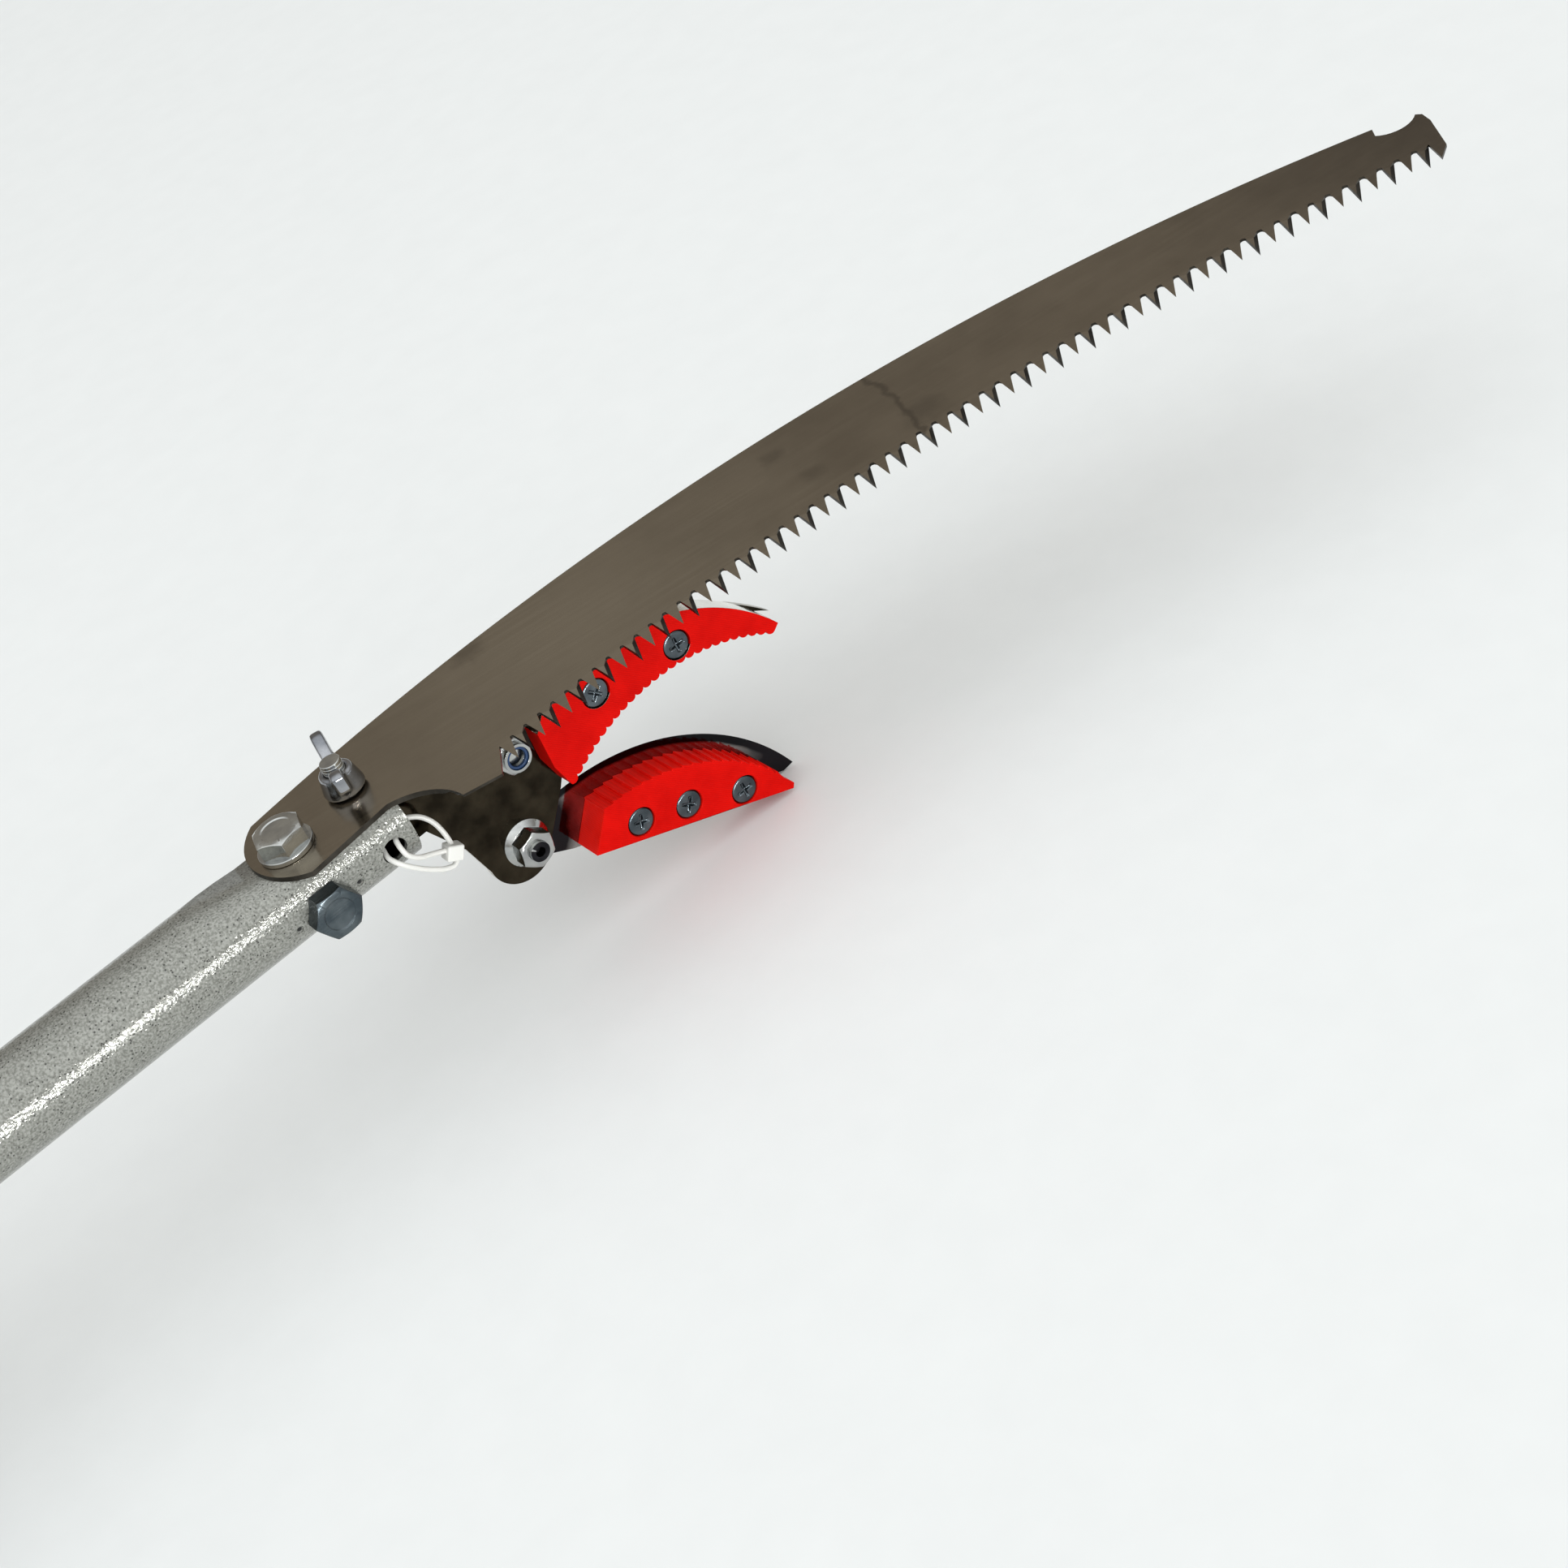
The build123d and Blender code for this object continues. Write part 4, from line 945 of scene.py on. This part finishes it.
def teeth_tree():
    """Teeth of two kinds by turns, swung along the tooth line and joined to the blade.

    Faces that stand on edge, the ground flanks among them, get the second finish: dark steel, which on the
    cut edges is painted shade.
    """
    inputs = {"Down Tooth": "Object", "Up Tooth": "Object", "Count": "Int", "Middle": "Vector",
              "Start": "Float", "Pitch": "Float", "Growth": "Float", "Slack": "Float", "Radius": "Float",
              "Finish": "Material", "Edge Finish": "Material"}
    join_distance = 2e-6
    edge_slant = 0.8
    tree, given, end = grower_tree("saw teeth", inputs)
    spots = geometry(tree, "MeshLine", Count=given["Count"], Start_Location=given["Middle"],
                     Offset=(0, 0, 0))
    number = combine(tree, "ADD", geometry(tree, "InputIndex"), 1.0)
    along = given["Slack"]
    for amount in (given["Growth"], given["Pitch"], given["Start"]):
        along = combine(tree, "ADD", amount, combine(tree, "MULTIPLY", number, along))
    swing = combine(tree, "MULTIPLY", combine(tree, "DIVIDE", along, given["Radius"]), -1.0)
    heading = step(tree, "ShaderNodeCombineXYZ", Z=swing)["Vector"]
    upward = combine(tree, "MODULO", number, 2.0)
    downward = combine(tree, "SUBTRACT", 1.0, upward)
    join = tree.nodes.new("GeometryNodeJoinGeometry")
    for label, picked in (("Down Tooth", downward), ("Up Tooth", upward)):
        copies = copies_at(tree, spots, given[label], heading, Selection=picked)
        real = geometry(tree, "RealizeInstances", Geometry=copies)
        feed(tree, join.inputs["Geometry"], real)
    feed(tree, join.inputs["Geometry"], given["Geometry"])
    merged = geometry(tree, "MergeByDistance", Geometry=join.outputs["Geometry"], Distance=join_distance)
    plain = finish_tree(tree, merged, given["Finish"], end)
    normal = geometry(tree, "InputNormal")
    flatness = combine(tree, "ABSOLUTE", step(tree, "ShaderNodeSeparateXYZ", Vector=normal)["Z"])
    on_edge = combine(tree, "LESS_THAN", flatness, edge_slant)
    edged = geometry(tree, "SetMaterial", Geometry=plain, Selection=on_edge, Material=given["Edge Finish"])
    feed(tree, end, edged)
    return tree


def saw_steel_finish():
    """Brushed brown steel, rubbed brighter over the heel and darker to the nose.

    A drip has dried across it, with a few smaller marks.
    """
    finish, tree, base, colour = rubbed_metal(
        "browned_saw_steel", (0.227, 0.194, 0.148), (0.288, 0.249, 0.193), rough=(0.14, 0.26),
        rubbing=0.06, clouds=noise_span, turn=(0, 0, math.radians(-12)), Cloud_Scale=45.0)
    bright = (0.375, 0.332, 0.262)
    brown = (0.105, 0.088, 0.068)
    for x, y, stain, part, depth, radius, rim, ragged in (
        (95.0, 0.0, bright, "Inside", 0.9, 0.05, 0.09, 0.03),
        (368.0, -65.0, brown, "Inside", 0.9, 0.037, 0.09, 0.03),
        (98.0, 18.0, brown, "Rim", 0.6, 0.117, 0.0013, 0.007),
        (211.0, -24.0, brown, "Rim", 0.4, 0.001, 0.008, 0.012),
        (175.9, 4.0, brown, "Rim", 0.35, 0.001, 0.004, 0.010),
        (176.5, -15.0, brown, "Rim", 0.30, 0.001, 0.004, 0.008),
        (75.0, 22.0, brown, "Rim", 0.40, 0.001, 0.006, 0.012),
    ):
        colour = stained(tree, colour, stain, saw_bolt + Vector((x, y, 0)) * mm, depth, part,
                         Radius=radius, Rim=rim, Ragged=ragged)
    feed(tree, base, colour)
    return finish


saw_steel = saw_steel_finish()
# Dark steel on every face that stands on edge: the ground flanks of the teeth are dark, and on the blade's
# cut edges the darkness is painted shade.
ground_edge_and_painted_shade = plated_metal("saw_edge_ground_and_painted_shade", (0.026, 0.023, 0.019), (0.06, 0.054, 0.045),
                            rough=(0.3, 0.42))
down_tooth = tooth_shape("down_tooth", upward=False)
up_tooth = tooth_shape("up_tooth", upward=True)
turning_point = saw_bolt + Vector((*tooth_line_middle, 0)) * mm
turning_point.z = blade_low.z
saw = grow("saw_blade_toothed", teeth_tree(), blade_body(), **{
    "Down Tooth": down_tooth, "Up Tooth": up_tooth, "Count": tooth_count, "Middle": turning_point,
    "Start": tooth_start, "Pitch": tooth_pitch, "Growth": pitch_growth, "Slack": growth_slack,
    "Radius": tooth_line_r, "Finish": saw_steel, "Edge Finish": ground_edge_and_painted_shade})
shape = bmesh.new()
shape.from_mesh(saw.data)
bmesh.ops.recalc_face_normals(shape, faces=shape.faces)
shape.to_mesh(saw.data)
shape.free()
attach(saw, "pole_upper")
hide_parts("saw_blade")

# Saw bolt with its washer, and the side bolt that holds the jaw plate: zinc plated M8 hexagon
# bolts with a shallow dish in their forged heads. The side bolt is the greyer one.


def dished_head(piece, axis, rim, depth):
    """Sink the middle of the head's outer face, which looks along the axis."""
    straight = 0.999
    shape = bmesh.new()
    shape.from_mesh(piece.data)
    axis = Vector(axis)
    facing = [face for face in shape.faces if face.normal.dot(axis) > straight]
    outer = max(facing, key=lambda face: face.calc_center_median().dot(axis))
    bmesh.ops.inset_individual(shape, faces=[outer], thickness=rim, depth=0.0)
    bmesh.ops.inset_individual(shape, faces=[outer], thickness=depth, depth=-depth)
    shape.to_mesh(piece.data)
    shape.free()


head_rim = 0.0016
head_dish = 0.0003
finished_copy("saw_washer", "pole_upper", bright_zinc, 0.0003)
for node, finish, axis in (("saw_bolt", bright_zinc, (0, 0, 1)), ("side_bolt", grey_zinc, (0, -1, 0))):
    dished_head(finished_copy(node, "pole_upper", finish, 0.0002), axis, head_rim, head_dish)

# Wing nut on its stud: a forged, bright zinc plated M6 nut with rounded edges that clamps the
# saw by hand. The stud's thread shows between the wings.
finished_copy("saw_stud", "pole_upper", bright_zinc, 0.0003)
wing_zinc = plated_metal("wing_nut_zinc", (0.19, 0.20, 0.22), (0.36, 0.37, 0.39), rough=(0.06, 0.16))
wing_nut = finished_copy("wing_nut", "wing", wing_zinc)
skin = wing_nut.modifiers.new("one skin", "REMESH")
skin.mode = "VOXEL"
skin.voxel_size = 0.0003
skin.use_smooth_shade = True
forged = wing_nut.modifiers.new("forged edges", "SMOOTH")
forged.factor = 0.5
forged.iterations = 60
thread_pitch = 0.001
thread_half = 0.00028
stud_radius = 0.003
shown_thread = 4
thread_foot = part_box("saw_stud")[1].z - (shown_thread + 0.5) * thread_pitch
stud_thread = grow("saw_stud_thread", wound, Turns=float(shown_thread), Height=shown_thread * thread_pitch,
                   Radius=stud_radius - thread_half / 2, Wire=thread_half,
                   Place=Vector((*stud.xy, thread_foot)), Turn=(0, 0, 0), Finish=bright_zinc)
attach(stud_thread, "pole_upper")

# Nylon tie: a thin white strap through the side hole and the tube's end, pulled into its own
# moulded head, with the tail tucked back into the hole.
white_nylon = moulding("white_nylon", (0.56, 0.56, 0.53), (0.64, 0.64, 0.61), rough=(0.28, 0.42), grain=0.1)
finished_copy("cable_tie", "pole_upper", white_nylon)

# Floor, light and camera: a pale floor just under the jaw and the trigger, a wide soft light
# straight above the toothed side and a low strip that draws the line of light along the pole.
floor_gap = 0.0005
floor_level = solid_box[0].z - floor_gap
floor_reach = 40.0
square = ((-1, -1), (1, -1), (1, 1), (-1, 1))
corners = [(x * floor_reach, y * floor_reach, floor_level) for x, y in square]
floor_mesh = bpy.data.meshes.new("floor")
floor_mesh.from_pydata(corners, [], [(0, 1, 2, 3)])
floor = new_object("floor", floor_mesh)
floor_finish, tree, shader, effect = finish_with("pale_floor", moulded, Grain_Scale=600.0)
floor_colour = tint(tree, effect["Patches"], (0.79, 0.81, 0.81), (0.83, 0.85, 0.85))
fill(tree, shader, Base_Color=floor_colour, Roughness=0.75)
floor_mesh.materials.append(floor_finish)

world = bpy.data.worlds.new("soft room")
world.use_nodes = True
bpy.context.scene.world = world
sky = world.node_tree
window_axis = (-0.25, -0.75, 0.61)
room_colour = (0.34, 0.312, 0.275)
window_colour = (1.28, 1.31, 1.32)
direction = step(sky, "ShaderNodeTexCoord")["Generated"]
facing = sky.nodes.new("ShaderNodeVectorMath")
facing.operation = "DOT_PRODUCT"
feed(sky, facing.inputs[0], direction)
feed(sky, facing.inputs[1], window_axis)
window_side = remap(sky, facing.outputs["Value"], -0.35, 0.8)
height = step(sky, "ShaderNodeSeparateXYZ", Vector=direction)["Z"]
over_horizon = remap(sky, height, 0.05, 0.4, 0.15, 1.0)
brightness = combine(sky, "MULTIPLY", window_side, over_horizon)
room_light = tint(sky, brightness, room_colour, window_colour)
fill(sky, sky.nodes["Background"].inputs, Color=room_light, Strength=1.0)


def soft_light(name, place, aim, width, height, watts, spread=180):
    lamp = bpy.data.lights.new(name, "AREA")
    lamp.shape = "RECTANGLE"
    lamp.size = width
    lamp.size_y = height
    lamp.energy = watts
    lamp.spread = math.radians(spread)
    holder = new_object(name, lamp)
    holder.location = place
    holder.rotation_euler = (Vector(aim) - Vector(place)).to_track_quat("-Z", "Y").to_euler()


soft_light("wide soft light", (0.90, -0.45, 1.25), (0.90, -0.45, 0.0), width=3.0, height=3.0, watts=6.0)
soft_light("low strip light", (0.65, -2.2, 0.06), (0.90, 0.0, 0.0), width=2.0, height=0.09, watts=3.8,
           spread=45)

bpy.context.scene.view_settings.view_transform = "Standard"
camera_data = bpy.data.cameras.new("photo camera")
camera = new_object("photo camera", camera_data)
bpy.context.scene.camera = camera
camera_data.sensor_width = 36.0
camera_data.lens = 65.22
camera_data.clip_start = 0.01
camera_right = Vector((0.73470, -0.57477, -0.36036))
camera_up = Vector((0.60807, 0.32245, 0.72545))
camera_back = camera_right.cross(camera_up)
camera_place = Vector((0.8559, -0.6293, 0.4121))
camera_axes = Matrix((camera_right, camera_up, camera_back)).transposed()
camera.matrix_world = Matrix.Translation(camera_place) @ camera_axes.to_4x4()
